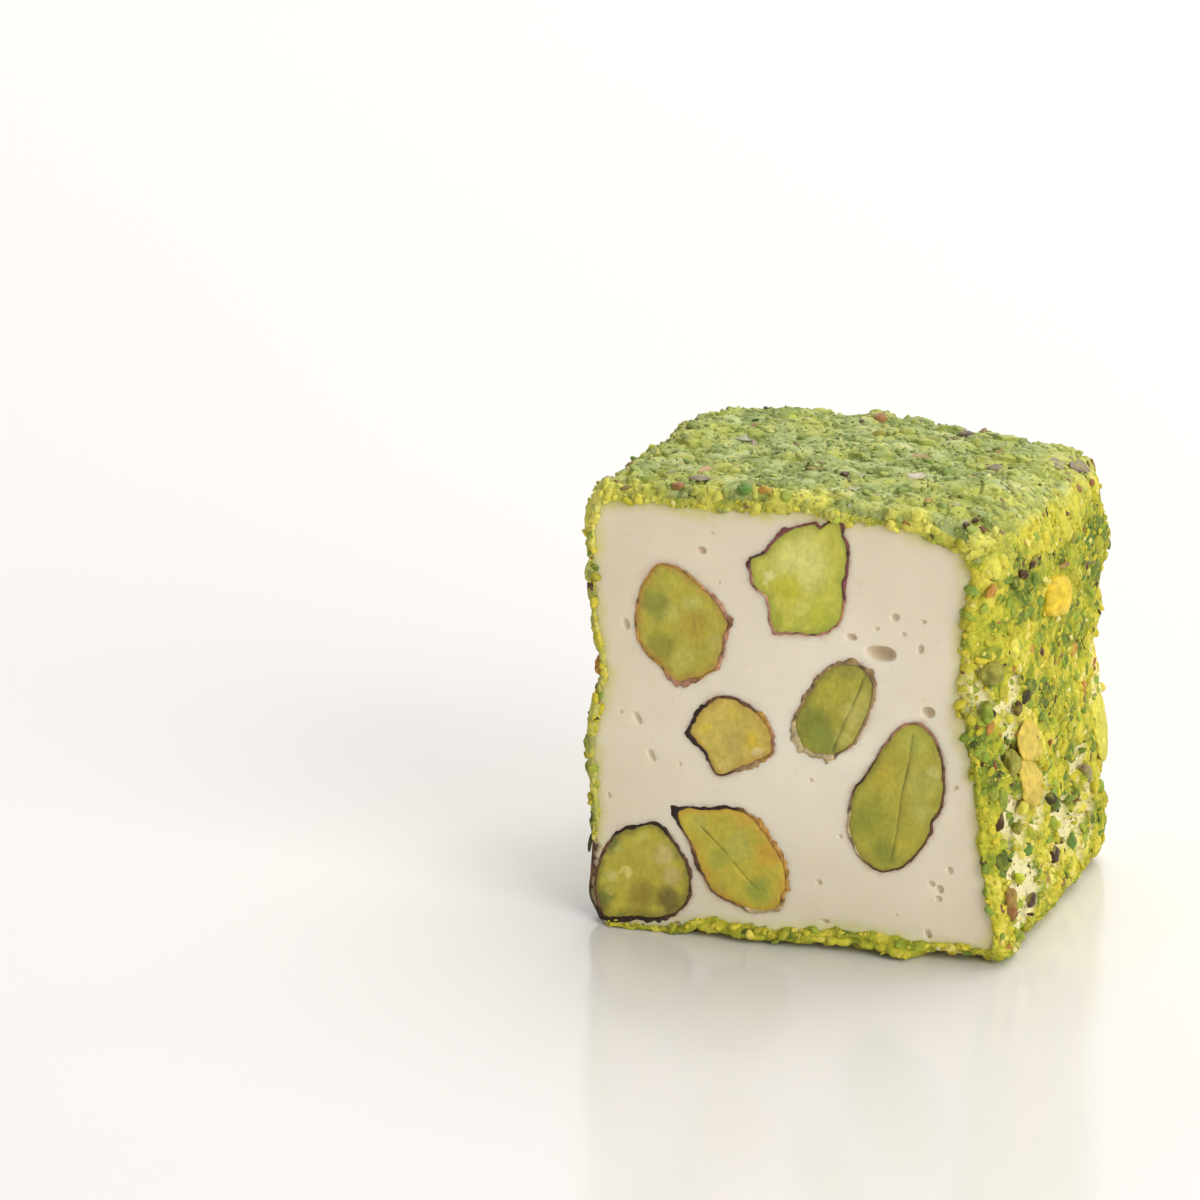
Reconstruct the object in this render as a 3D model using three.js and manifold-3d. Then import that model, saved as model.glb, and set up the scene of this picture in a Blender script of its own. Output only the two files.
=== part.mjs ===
// Turkish delight of the nougat kind: a block cut from a bar of milk-white nougat that holds
// whole pistachio kernels, its four long sides rolled in ground pistachio.
//
// Millimetres, +Z up. The bar ran along Y, so the two bare cut faces look along -Y and +Y.
// The block stands on z = 0 with the origin under its middle.
import * as THREE from "three";
import { mergeVertices } from "three/addons/utils/BufferGeometryUtils.js";
import Module from "manifold-3d";

const wasm = await Module();
wasm.setup();

// ---------------------------------------------------------------- driving dimensions

const CUT = 14.25; // from the middle to each cut face
const COAT = 0.85; // mean thickness of the ground-pistachio coat
const GAP = 0.25; // clear space kept between neighbouring pieces
const PROUD = 0.15; // how far a cut kernel stands out of its face
const SHOULDER = 4.5; // length over which the coat draws in towards a cut face
const REST_SPOT = 6.5; // radius of the flat spot under the middle of the block
const MIDDLE_HEIGHT = 18; // of the block, where its cut faces' triangles meet

// The coated block across its length, seen from the front. Corners run bottom right, top right,
// top left, bottom left as [x, z, rounding]; bows belong to the sides right, top, left, bottom as
// [swell, place along the side].
const FRONT_CUT = {
  corners: [[17.8, 0.15, 1.1], [15.0, 36.2, 4.0], [-17.85, 36.3, 1.8], [-17.75, 0.15, 1.2]],
  bows: [[-1.5, 0.68], [0.5, 0.5], [-0.2, 0.45], [0, 0.5]],
};
const FRONT = {
  corners: [[18.0, 0.15, 1.4], [16.8, 36.3, 4.4], [-17.8, 36.5, 2.8], [-17.8, 0.15, 1.6]],
  bows: [[-0.6, 0.64], [0.5, 0.5], [-0.4, 0.45], [0, 0.5]],
};
const BACK = {
  corners: [[18.2, 0.15, 1.6], [17.7, 35.3, 3.6], [-17.3, 36.1, 2.2], [-17.5, 0.15, 1.6]],
  bows: [[-0.5, 0.5], [0.4, 0.5], [-0.4, 0.5], [0, 0.5]],
};
const BACK_CUT = {
  corners: [[17.8, 0.15, 1.4], [17.2, 35.0, 3.4], [-16.9, 35.7, 1.8], [-17.2, 0.15, 1.4]],
  bows: [[-0.6, 0.5], [0.4, 0.5], [-0.5, 0.5], [0, 0.5]],
};

// A soft hollow in the left side, which starts and is full at these reaches to the left.
const LEFT_DENT = { z: 20.6, depth: 0.8, spread: 3.2, starts: 12, full: 17 };

const AROUND = 96; // points round each section
const FINE_AROUND = 4 * AROUND; // points round a section that bits are placed on
const MERGE_WITHIN = 1e-5; // points closer than this are one
const COAT_RINGS = 22; // steps of the coat's outer face along the bar
const INNER_RINGS = [0, 0.06, 0.16, 0.84, 0.94, 1]; // shares of the length, front to back

// Unevenness of the coat: [height, width of a bump], and how deep its hollows may be.
const RELIEF = [[0.22, 4.6], [0.6, 1.7]];
const DEEPEST_HOLLOW = 0.4;
const RIM_RAGGED = 0.3; // how far the coat's cut rims wander along the bar

// Kernels cut through by the front face: the outline of the cut as [x, z] points, how deep the
// rest of the kernel reaches, where its far tip leans, and the seam between its two halves.
const FRONT_KERNELS = [
  {
    outline: [[-11.8, 30.4], [-10.6, 30.6], [-8.3, 29.3], [-6.0, 27.1], [-5.6, 25.9], [-6.6, 23.9],
      [-9.4, 20.7], [-11.5, 21.9], [-13.3, 24.4], [-13.3, 26.9], [-12.6, 29.0]],
    depth: 8, lean: [1.5, 0.8],
  },
  {
    outline: [[-4.0, 31.0], [-2.6, 32.6], [-1.0, 34.2], [1.4, 34.9], [3.2, 35.1], [4.2, 33.2],
      [4.1, 30.6], [3.7, 27.3], [2.6, 26.1], [-1.4, 25.6], [-2.4, 28.0], [-3.6, 29.3]],
    depth: 7, lean: [0.5, -2],
  },
  {
    outline: [[-8.7, 17.0], [-7.8, 18.9], [-6.0, 20.1], [-4.0, 19.5], [-2.5, 18.4], [-1.7, 16.8],
      [-2.1, 15.6], [-4.1, 14.0], [-6.3, 13.4], [-7.6, 15.2]],
    depth: 6, lean: [1, 1],
  },
  {
    outline: [[-0.3, 18.1], [0.3, 20.6], [1.7, 22.9], [3.6, 24.0], [5.7, 24.0], [6.7, 22.3],
      [6.4, 20.2], [5.3, 17.5], [3.9, 16.2], [2.2, 15.7], [0.6, 16.2]],
    depth: 7, lean: [-1, 0], seam: [[5.7, 23.0], [3.2, 16.6]],
  },
  {
    outline: [[9.9, 19.8], [11.3, 18.8], [12.2, 16.3], [12.3, 13.7], [11.5, 11.0], [10.3, 8.7],
      [8.7, 7.2], [7.2, 6.7], [5.6, 7.6], [4.6, 9.8], [4.6, 12.6], [5.5, 15.0], [7.3, 17.7]],
    depth: 9, lean: [-1.5, 0.5], seam: [[9.7, 18.4], [8.1, 8.0]],
  },
  {
    outline: [[-16.5, 4.9], [-15.4, 7.0], [-13.9, 8.2], [-11.7, 8.6], [-10.2, 7.5], [-9.0, 5.6],
      [-8.6, 3.4], [-9.3, 1.6], [-10.7, 0.8], [-13.2, 0.5], [-15.8, 0.6], [-16.9, 2.0]],
    depth: 6.5, lean: [2, 1.5], breaksOut: true,
  },
  {
    outline: [[-10.3, 10.1], [-8.3, 10.4], [-5.8, 10.8], [-3.7, 10.4], [-2.0, 8.5], [-0.8, 6.6],
      [-0.5, 4.5], [-1.2, 2.6], [-2.8, 2.2], [-5.2, 2.7], [-7.4, 3.9], [-8.2, 6.0], [-9.0, 8.1]],
    depth: 8, lean: [2.5, 1], seam: [[-7.6, 8.7], [-3.4, 4.5]],
  },
];

// Kernels of the back face, seen from behind: each is like a front one, turned and resized.
const BACK_KERNELS = [
  { like: 4, at: [-8.6, 26.2], turn: 50, size: 0.95 },
  { like: 0, at: [4.8, 28.0], turn: -35, size: 0.92 },
  { like: 3, at: [10.6, 18.4], turn: 25, size: 1.05 },
  { like: 2, at: [0.4, 18.0], turn: 100, size: 1.1 },
  { like: 6, at: [-9.2, 10.8], turn: -70, size: 1 },
  { like: 1, at: [5.2, 8.2], turn: 150, size: 0.9 },
];
const KERNEL_AROUND = 20;
const KERNEL_STATIONS = [0, 0.5, 0.86]; // shares of the depth, before the far tip
const BREAKOUT_GAP = 0.6; // clear space round a kernel that breaks through the coat
const CLEAR = 2; // how far a cutting tool runs past a cut face
const KERNEL_COLOURS = [0xaa9e40, 0xc4bc58, 0xbfa84f, 0x9f9a3b, 0xa5993b, 0xa19238, 0xa99c3b];
const SEAM_WIDTH = 0.5;

// Air bubbles opened by each cut, as [x, z, half width, half height] seen square on.
const FRONT_BUBBLES = [
  [7.1, 24.9, 1.15, 0.65], [-7.9, 31.9, 0.45, 0.35], [8.1, 28.0, 0.4, 0.4], [4.5, 26.1, 0.5, 0.35],
  [10.2, 25.4, 0.4, 0.45], [10.3, 27.9, 0.35, 0.3], [-14.6, 25.2, 0.35, 0.5],
  [-13.2, 17.4, 0.35, 0.55], [-12.0, 14.4, 0.35, 0.55], [13.0, 20.5, 0.5, 0.45],
  [3.8, 9.4, 0.35, 0.35], [12.1, 5.8, 0.4, 0.55], [11.2, 2.2, 0.4, 0.5],
];
const BACK_BUBBLES = [
  [-1.5, 23.4, 0.9, 0.6], [-13.4, 18.2, 0.45, 0.4], [12.2, 26.4, 0.4, 0.5], [-1.8, 12.6, 0.5, 0.4],
  [11.8, 10.2, 0.4, 0.4], [-12.6, 4.6, 0.45, 0.45], [-2.2, 4.4, 0.35, 0.4],
];
const BUBBLE_DEPTH = 0.6;

// Large bits that stand out of the coat: on which side, how high up (or how far to the right, on
// top), how far along the bar, size along the bar, across it and outwards, and a turn in degrees.
const NAMED_BITS = [
  { side: "right", at: 26.3, y: 1.5, size: [2.4, 2.0, 0.9], turn: 20 }, // yellow chunk
  { side: "right", at: 16.0, y: -5.3, size: [2.6, 2.3, 0.7], turn: 30 }, // upper nut slice
  { side: "right", at: 12.6, y: -6.6, size: [2.2, 1.9, 0.7], turn: -20 }, // lower nut slice
  { side: "right", at: 14.4, y: -11.2, size: [1.9, 1.8, 0.8], turn: 10 }, // dark cluster
  { side: "right", at: 24.8, y: -12.6, size: [1.1, 1.0, 0.9], turn: 0 }, // olive ball
  { side: "right", at: 4.6, y: -11.6, size: [0.9, 1.4, 0.7], turn: 15 }, // almond-shaped chip
  { side: "right", at: 11.4, y: 12.6, size: [1.4, 2.6, 0.8], turn: 0 }, // tall pale piece
  { side: "right", at: 8.4, y: 10.6, size: [1.6, 1.0, 0.8], turn: 25 }, // grey flake
  { side: "right", at: 1.9, y: 12.2, size: [1.6, 1.2, 0.6], turn: -15 },
  { side: "left", at: 21.0, y: -13.2, size: [1.0, 0.9, 0.7], turn: 0 }, // brown bit by the cut
  { side: "left", at: 9.5, y: -2.0, size: [2.2, 1.9, 0.8], turn: 30 },
  { side: "left", at: 27.0, y: 6.0, size: [2.0, 1.7, 0.8], turn: -25 },
  { side: "top", at: -17.0, y: -1.5, size: [1.1, 1.0, 0.8], turn: 0 },
  { side: "top", at: 7.3, y: -6.0, size: [1.2, 0.9, 0.5], turn: 40 },
];
const BIT_SUNK = 0.35; // share of a bit's height that is pressed into the coat
const BIT_RADII = [0.85, 1.15]; // how far a lump's corners are pushed in and out
const BIT_ROOM = 1.2; // least height of a bit's middle, as a share of its largest size
const BIT_OVERHANG = 0.6; // share of a bit's size that stays behind the cut face
const TOP_FROM = 30; // above this height a section's points belong to the top

const CRUMBS = 26; // further bits, spread evenly over top and sides
const CRUMB_SIZE = [0.9, 1.7]; // half widths, smallest and largest
const CRUMB_WIDTHS = [0.7, 1]; // width over length
const CRUMB_HEIGHTS = [0.45, 0.7]; // height over length
const CRUMB_SPAN = [0.14, 0.86]; // share of the way round, from bottom right to bottom left
const CRUMB_MARGIN = 0.8; // from a cut face to the nearest crumb's middle
const CRUMB_STRAY = 0.12; // how far a crumb strays from its even place, as a share of the span
const CRUMB_SEED = 20;

// ---------------------------------------------------------------- number helpers

const mix = (a, b, share) => a + (b - a) * share;

// A repeatable number from 0 to 1 for each whole-number cell.
function cellValue(x, y, z) {
  let bits = Math.imul(x, 374761393) ^ Math.imul(y, 668265263) ^ Math.imul(z, 2147483647);
  bits = Math.imul(bits ^ (bits >>> 13), 1274126177);
  return ((bits ^ (bits >>> 16)) >>> 0) / 4294967296;
}

// Smooth unevenness from -1 to 1 whose bumps are about one size wide.
function bumps(point, size) {
  const p = point.clone().divideScalar(size);
  const base = p.clone().floor();
  const part = p.sub(base);
  const ease = part.clone().multiply(part).multiply(part.clone().multiplyScalar(-2).addScalar(3));
  let sum = 0;
  for (let corner = 0; corner < 8; corner += 1) {
    const step = [corner & 1, (corner >> 1) & 1, corner >> 2];
    const weight = step
      .map((on, axis) => (on ? ease.getComponent(axis) : 1 - ease.getComponent(axis)))
      .reduce((a, b) => a * b);
    sum += weight * cellValue(base.x + step[0], base.y + step[1], base.z + step[2]);
  }
  return 2 * sum - 1;
}

// A seeded stream of numbers from 0 to 1.
function seeded(seed) {
  let count = seed;
  return () => {
    count += 1;
    return cellValue(count, seed, 17);
  };
}

// ---------------------------------------------------------------- mesh helpers

// A closed indexed geometry from vertices and triangles.
function closedGeometry(points, triangles) {
  const geometry = new THREE.BufferGeometry();
  geometry.setAttribute("position", new THREE.Float32BufferAttribute(points.flatMap((p) => p.toArray()), 3));
  geometry.setIndex(triangles.flat());
  return geometry;
}

// The triangles of a band between two rings of equal length; it faces away from the loop's
// inside when the rings run anticlockwise about the direction from first to second.
function band(first, second) {
  return first.flatMap((a, i) => {
    const next = (i + 1) % first.length;
    return [[a, first[next], second[next]], [a, second[next], second[i]]];
  });
}

const fan = (ring, tip) => ring.map((a, i) => [a, ring[(i + 1) % ring.length], tip]);

const flipped = (triangles) => triangles.map(([a, b, c]) => [a, c, b]);

// Vertices and triangles of stacked rings, given as lists of points from front to back.
function stack(rings, offset) {
  const indices = rings.map((points, r) => points.map((_, i) => offset + r * points.length + i));
  const triangles = indices.slice(1).flatMap((next, r) => band(indices[r], next));
  return { points: rings.flat(), indices, triangles: flipped(triangles) };
}

// A closed form of stacked rings whose first and last are each drawn to a tip.
function closedStack(rings, tips) {
  const skin = stack(rings, 0);
  const firstTip = skin.points.length;
  return closedGeometry([...skin.points, ...tips], [
    ...skin.triangles,
    ...fan(skin.indices[0], firstTip),
    ...flipped(fan(skin.indices.at(-1), firstTip + 1)),
  ]);
}

// A geometry stripped to its places, with the points that lie together made one.
function merged(geometry) {
  const bare = geometry.clone();
  bare.deleteAttribute("normal");
  bare.deleteAttribute("uv");
  return mergeVertices(bare, MERGE_WITHIN);
}

function toSolid(geometry) {
  const bare = merged(geometry);
  return new wasm.Manifold(new wasm.Mesh({
    numProp: 3,
    vertProperties: new Float32Array(bare.attributes.position.array),
    triVerts: new Uint32Array(bare.index.array),
  }));
}

function toGeometry(solid) {
  const mesh = solid.getMesh();
  const geometry = new THREE.BufferGeometry();
  geometry.setAttribute("position", new THREE.BufferAttribute(new Float32Array(mesh.vertProperties), 3));
  geometry.setIndex(new THREE.BufferAttribute(new Uint32Array(mesh.triVerts), 1));
  return geometry;
}

// The largest body of a solid that a cut may have split.
function mainBody(solid) {
  return solid.decompose().reduce((best, body) => (body.volume() > best.volume() ? body : best));
}

// ---------------------------------------------------------------- the block's form

// Corners and bows of the coated block at a place along the bar.
function sectionAt(y) {
  const along = (y + CUT) / (2 * CUT);
  const nearFront = Math.max(0, 1 - (y + CUT) / SHOULDER) ** 2;
  const nearBack = Math.max(0, 1 - (CUT - y) / SHOULDER) ** 2;
  const blend = (key, item, part) => {
    const [front, back, frontCut, backCut] = [FRONT, BACK, FRONT_CUT, BACK_CUT]
      .map((section) => section[key][item][part]);
    return mix(mix(mix(front, back, along), frontCut, nearFront), backCut, nearBack);
  };
  const sides = [0, 1, 2, 3];
  return {
    corners: sides.map((i) => [0, 1, 2].map((part) => blend("corners", i, part))),
    bows: sides.map((i) => [0, 1].map((part) => blend("bows", i, part))),
  };
}

// Points round the block at a place along the bar, set in by an inset, from the bottom right
// corner on and anticlockwise as seen from the front.
function ring(y, inset, count) {
  const { corners, bows } = sectionAt(y);
  const inward = [[-1, 1], [-1, -1], [1, -1], [1, 1]];
  const apex = corners.map(([x, z], i) => new THREE.Vector2(x, z).add(
    new THREE.Vector2(...inward[i]).multiplyScalar(inset),
  ));
  const towards = (from, to, reach) => from.clone().lerp(to, reach / from.distanceTo(to));
  const path = new THREE.Path();
  for (let i = 0; i < 4; i += 1) {
    const here = apex[i];
    const round = Math.max(corners[i][2] - inset / 2, 0.5);
    const nextRound = Math.max(corners[(i + 1) % 4][2] - inset / 2, 0.5);
    const enter = towards(here, apex[(i + 3) % 4], round);
    const leave = towards(here, apex[(i + 1) % 4], round);
    const sideEnd = towards(apex[(i + 1) % 4], here, nextRound);
    const outwards = sideEnd.clone().sub(leave).normalize();
    outwards.set(outwards.y, -outwards.x);
    const [swell, place] = bows[i];
    const pull = leave.clone().lerp(sideEnd, place).addScaledVector(outwards, 2 * swell);
    if (i === 0) {
      path.moveTo(enter.x, enter.y);
    }
    path.quadraticCurveTo(here.x, here.y, leave.x, leave.y);
    path.quadraticCurveTo(pull.x, pull.y, sideEnd.x, sideEnd.y);
  }
  const points = path.getSpacedPoints(count);
  points.pop();
  return points.map(({ x, y: z }) => {
    const dent = x < 0 ? LEFT_DENT.depth * Math.exp(-(((z - LEFT_DENT.z) / LEFT_DENT.spread) ** 2)) : 0;
    const nearSide = THREE.MathUtils.smoothstep(-x, LEFT_DENT.starts, LEFT_DENT.full);
    return new THREE.Vector3(x + dent * nearSide, y, z);
  });
}

// Outward directions across the bar at each point of a ring.
function outward(points) {
  return points.map((_, i) => {
    const before = points[(i + points.length - 1) % points.length];
    const after = points[(i + 1) % points.length];
    const along = after.clone().sub(before).normalize();
    return new THREE.Vector3(along.z, 0, -along.x);
  });
}

function heightOf(point) {
  const height = RELIEF.reduce((sum, [tall, size]) => sum + tall * bumps(point, size), 0);
  return Math.max(height, -DEEPEST_HOLLOW);
}

// The coat's outer skin at one step along the bar: uneven, never below the surface it rests on.
function coatRing(step) {
  const y = mix(-CUT, CUT, step / COAT_RINGS);
  const points = ring(y, 0, AROUND);
  const directions = outward(points);
  return points.map((point, i) => {
    const moved = point.clone().addScaledVector(directions[i], heightOf(point));
    if (step === 0 || step === COAT_RINGS) {
      moved.y += Math.sign(y) * RIM_RAGGED * (0.1 + bumps(point, RELIEF[1][1]));
    }
    const atRest = point.z < 1 && Math.hypot(moved.x, moved.y) < REST_SPOT;
    moved.z = atRest ? 0 : Math.max(moved.z, 0);
    return moved;
  });
}

// Smooth sections of the block from front to back, set in by an inset.
function smoothRings(inset) {
  return INNER_RINGS.map((share) => ring(mix(-CUT, CUT, share), inset, AROUND));
}

// A tube round the core: outer skin, inner face and the two cut rims.
function coatTube() {
  const outerRings = Array.from({ length: COAT_RINGS + 1 }, (_, step) => coatRing(step));
  const outer = stack(outerRings, 0);
  const inner = stack(smoothRings(COAT), outer.points.length);
  const rims = [
    ...band(outer.indices[0], inner.indices[0]),
    ...flipped(band(outer.indices.at(-1), inner.indices.at(-1))),
  ];
  return closedGeometry(
    [...outer.points, ...inner.points],
    [...outer.triangles, ...flipped(inner.triangles), ...rims],
  );
}

// A block of smooth sections whose two flat end faces lie at a reach from its middle.
function block(inset, reach) {
  const rings = smoothRings(inset);
  rings[0].forEach((point) => point.setY(-reach));
  rings.at(-1).forEach((point) => point.setY(reach));
  return closedStack(rings, [-reach, reach].map((y) => new THREE.Vector3(0, y, MIDDLE_HEIGHT)));
}

// The nougat inside the coat.
const nougatBlock = () => block(COAT + GAP, CUT);

// The space that the nougat and its clearance take out of any bit that reaches through the coat.
const nougatRoom = () => block(COAT, CUT + CLEAR);

// ---------------------------------------------------------------- kernels, bubbles and bits

// Evenly spaced points round a kernel's cut outline, anticlockwise as seen from the front.
function kernelEdge(outline) {
  const curve = new THREE.CatmullRomCurve3(outline.map(([x, z]) => new THREE.Vector3(x, 0, z)), true);
  const edge = curve.getSpacedPoints(KERNEL_AROUND);
  edge.pop();
  const flat = edge.map(({ x, z }) => new THREE.Vector2(x, z));
  return THREE.ShapeUtils.area(flat) > 0 ? edge : edge.reverse();
}

// A pistachio kernel cut by the front face: the cut outline, then ever smaller copies of it to
// the far tip. Grown outwards, the same form is the pocket that holds it.
function kernel({ outline, depth, lean }, grow) {
  const edge = kernelEdge(outline);
  const centre = edge.reduce((sum, p) => sum.add(p), new THREE.Vector3()).divideScalar(edge.length);
  const directions = outward(edge);
  const front = -(CUT + PROUD);
  const back = -CUT + depth;
  const farTip = new THREE.Vector3(lean[0], 0, lean[1]);
  const rings = KERNEL_STATIONS.map((share) => edge.map((p, i) => {
    const shrink = Math.sqrt(1 - share ** 2);
    const point = p.clone().sub(centre).multiplyScalar(shrink).addScaledVector(directions[i], grow);
    return point.add(centre).addScaledVector(farTip, share ** 2).setY(mix(front, back, share));
  }));
  if (grow > 0) {
    rings.unshift(rings[0].map((p) => p.clone().setY(-CUT - CLEAR)));
  }
  const tips = [centre.clone().setY(rings[0][0].y), centre.clone().add(farTip).setY(back + grow)];
  return closedStack(rings, tips);
}

// The cutter of the shallow groove where a kernel's two halves meet at the cut.
function seamCutter([start, end]) {
  const from = new THREE.Vector3(start[0], -(CUT + PROUD), start[1]);
  const to = new THREE.Vector3(end[0], -(CUT + PROUD), end[1]);
  const bar = new THREE.BoxGeometry(SEAM_WIDTH, SEAM_WIDTH, from.distanceTo(to));
  bar.rotateZ(Math.PI / 4);
  bar.lookAt(to.clone().sub(from));
  const centre = from.lerp(to, 0.5);
  return bar.translate(centre.x, centre.y, centre.z);
}

const twentySided = new THREE.IcosahedronGeometry(1, 0);

// A rough lump: a twenty-sided form whose corners are pushed in and out at random.
function lump(random) {
  const geometry = merged(twentySided);
  const position = geometry.attributes.position;
  const point = new THREE.Vector3();
  for (let i = 0; i < position.count; i += 1) {
    point.fromBufferAttribute(position, i).multiplyScalar(mix(...BIT_RADII, random()));
    position.setXYZ(i, ...point.toArray());
  }
  return geometry;
}

function bubble([x, z, halfWidth, halfHeight]) {
  return twentySided.clone().scale(halfWidth, BUBBLE_DEPTH, halfHeight).translate(x, -CUT, z);
}

// Where a side of the coat lies at a height (or at a reach to the right, on top), as the share
// of the way round its section.
function shareOn(side, at, y) {
  const points = ring(y, 0, FINE_AROUND);
  const misses = points.map((p) => {
    if (side === "top") {
      return p.z > TOP_FROM ? Math.abs(p.x - at) : Infinity;
    }
    return Math.sign(p.x) === (side === "right" ? 1 : -1) ? Math.abs(p.z - at) : Infinity;
  });
  return misses.indexOf(Math.min(...misses)) / points.length;
}

// A lump pressed into the coat at a share of the way round and a place along the bar.
function bit(share, y, size, turn, random) {
  const points = ring(y, 0, FINE_AROUND);
  const index = Math.round(share * points.length) % points.length;
  const out = outward(points)[index];
  const along = new THREE.Vector3(0, 1, 0);
  const across = new THREE.Vector3().crossVectors(out, along);
  const frame = new THREE.Matrix4().makeBasis(along, across, out);
  const centre = points[index].clone().addScaledVector(out, heightOf(points[index]));
  centre.addScaledVector(out, size[2] * (1 - 2 * BIT_SUNK));
  const geometry = lump(random);
  geometry.scale(...size);
  geometry.rotateZ(THREE.MathUtils.degToRad(turn));
  geometry.applyMatrix4(frame);
  const reach = CUT - BIT_OVERHANG * size[0];
  centre.z = Math.max(centre.z, BIT_ROOM * Math.max(...size));
  centre.y = THREE.MathUtils.clamp(centre.y, -reach, reach);
  return geometry.translate(...centre.toArray());
}

function namedBits() {
  const random = seeded(CRUMB_SEED + 1);
  return NAMED_BITS.map(({ side, at, y, size, turn }) => bit(shareOn(side, at, y), y, size, turn, random));
}

// The steps of the golden rule in two directions keep the crumbs evenly apart.
function crumbs() {
  const random = seeded(CRUMB_SEED);
  const [stepRound, stepAlong] = [0.7548777, 0.5698403];
  const reach = CUT - CRUMB_MARGIN;
  return Array.from({ length: CRUMBS }, (_, i) => {
    const stray = CRUMB_STRAY * random();
    const share = mix(...CRUMB_SPAN, (stray + i * stepRound) % 1);
    const y = mix(-reach, reach, (0.5 - stray + i * stepAlong) % 1);
    const length = mix(...CRUMB_SIZE, random() ** 2);
    const size = [length, length * mix(...CRUMB_WIDTHS, random()), length * mix(...CRUMB_HEIGHTS, random())];
    return bit(share, y, size, 360 * random(), random);
  });
}

// ---------------------------------------------------------------- assembly

// A kernel of the back face, in the front face's terms, before the half turn that carries it
// to the back.
function backKernel({ like, at, turn, size }) {
  const model = FRONT_KERNELS[like];
  const middle = model.outline
    .reduce((sum, [x, z]) => sum.add(new THREE.Vector2(x, z)), new THREE.Vector2())
    .divideScalar(model.outline.length);
  const place = ([x, z]) => new THREE.Vector2(x, z).sub(middle)
    .rotateAround(new THREE.Vector2(), THREE.MathUtils.degToRad(turn))
    .multiplyScalar(size).add(new THREE.Vector2(...at)).toArray();
  return {
    outline: model.outline.map(place),
    depth: model.depth,
    lean: model.lean,
    seam: model.seam?.map(place),
  };
}

const frontKernels = FRONT_KERNELS;
const backKernels = BACK_KERNELS.map(backKernel);
const toBack = (geometry) => geometry.rotateZ(Math.PI);

function kernelSolid(spec) {
  const body = toSolid(kernel(spec, 0));
  return spec.seam ? body.subtract(toSolid(seamCutter(spec.seam))) : body;
}

function coatSolid() {
  const bits = [...namedBits(), ...crumbs()].map(toSolid);
  const full = wasm.Manifold.union([toSolid(coatTube()), ...bits]);
  const breakouts = frontKernels.filter((spec) => spec.breaksOut)
    .map((spec) => toSolid(kernel(spec, BREAKOUT_GAP)));
  const room = wasm.Manifold.union([toSolid(nougatRoom()), ...breakouts]);
  return mainBody(full.subtract(room));
}

function coreSolid() {
  const cuts = [
    ...frontKernels.map((spec) => kernel(spec, GAP)),
    ...backKernels.map((spec) => toBack(kernel(spec, GAP))),
    ...FRONT_BUBBLES.map(bubble),
    ...BACK_BUBBLES.map((spec) => toBack(bubble(spec))),
  ].map(toSolid);
  return mainBody(toSolid(nougatBlock()).subtract(wasm.Manifold.union(cuts)));
}

function named(name, geometry, colour, roughness) {
  const material = new THREE.MeshStandardMaterial({ color: colour, roughness, metalness: 0 });
  const mesh = new THREE.Mesh(geometry, material);
  mesh.name = name;
  return mesh;
}

const turkishDelight = new THREE.Group();
turkishDelight.add(named("nougat_core", toGeometry(coreSolid()), 0xd9cbaf, 0.6));
turkishDelight.add(named("pistachio_coat", toGeometry(coatSolid()), 0xa9b160, 0.9));
frontKernels.forEach((spec, i) => {
  const geometry = toGeometry(kernelSolid(spec));
  turkishDelight.add(named(`pistachio_${i + 1}`, geometry, KERNEL_COLOURS[i], 0.45));
});
backKernels.forEach((spec, i) => {
  const geometry = toBack(toGeometry(kernelSolid(spec)));
  const colour = KERNEL_COLOURS[BACK_KERNELS[i].like];
  turkishDelight.add(named(`pistachio_back_${i + 1}`, geometry, colour, 0.45));
});

export default turkishDelight;
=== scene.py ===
"""Turkish delight of the nougat kind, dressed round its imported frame.

A block cut from a bar: milk-white whipped nougat with whole pistachio kernels, its long sides
rolled in ground pistachio, its two ends bare. Shapes are worked out in millimetres in the frame's
own axes (+Z up, the shown cut face looks along -Y) and become metres where a mesh is made.
"""

import itertools
import math

import bmesh
import bpy
import numpy as np
from mathutils import Matrix, Vector
from mathutils.bvhtree import BVHTree
from mathutils.geometry import delaunay_2d_cdt


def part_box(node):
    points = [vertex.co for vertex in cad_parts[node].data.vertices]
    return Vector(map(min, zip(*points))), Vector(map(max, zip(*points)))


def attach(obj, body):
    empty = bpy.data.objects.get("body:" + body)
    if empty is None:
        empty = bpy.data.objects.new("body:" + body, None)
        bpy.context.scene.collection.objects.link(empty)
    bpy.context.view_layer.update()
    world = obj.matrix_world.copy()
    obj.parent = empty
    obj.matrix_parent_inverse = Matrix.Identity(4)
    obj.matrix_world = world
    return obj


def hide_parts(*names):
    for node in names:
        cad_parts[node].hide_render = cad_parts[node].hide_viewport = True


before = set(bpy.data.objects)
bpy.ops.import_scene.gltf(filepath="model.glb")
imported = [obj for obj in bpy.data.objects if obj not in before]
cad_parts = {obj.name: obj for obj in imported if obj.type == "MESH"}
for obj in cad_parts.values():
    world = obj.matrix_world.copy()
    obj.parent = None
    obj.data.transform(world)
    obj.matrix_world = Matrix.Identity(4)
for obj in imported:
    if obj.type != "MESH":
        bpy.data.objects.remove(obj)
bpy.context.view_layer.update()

MM = 0.001

# ---------------------------------------------------------------- camera

AZIMUTH, ELEVATION = math.radians(19.5), math.radians(17.0)
LOOK_AT = Vector((0.0, 0.0, 17.5))     # the middle of the block
CAMERA_BACK = 477.0                    # from there to the camera
CAMERA_RIGHT, CAMERA_UP = -20.2, 6.7   # the block stands right of the view's middle and below it
LENS, SENSOR = 175.95, 36.0
NEAREST, FARTHEST = 0.01, 20.0         # that it sees, in metres

# ---------------------------------------------------------------- sizes of the block

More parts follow.
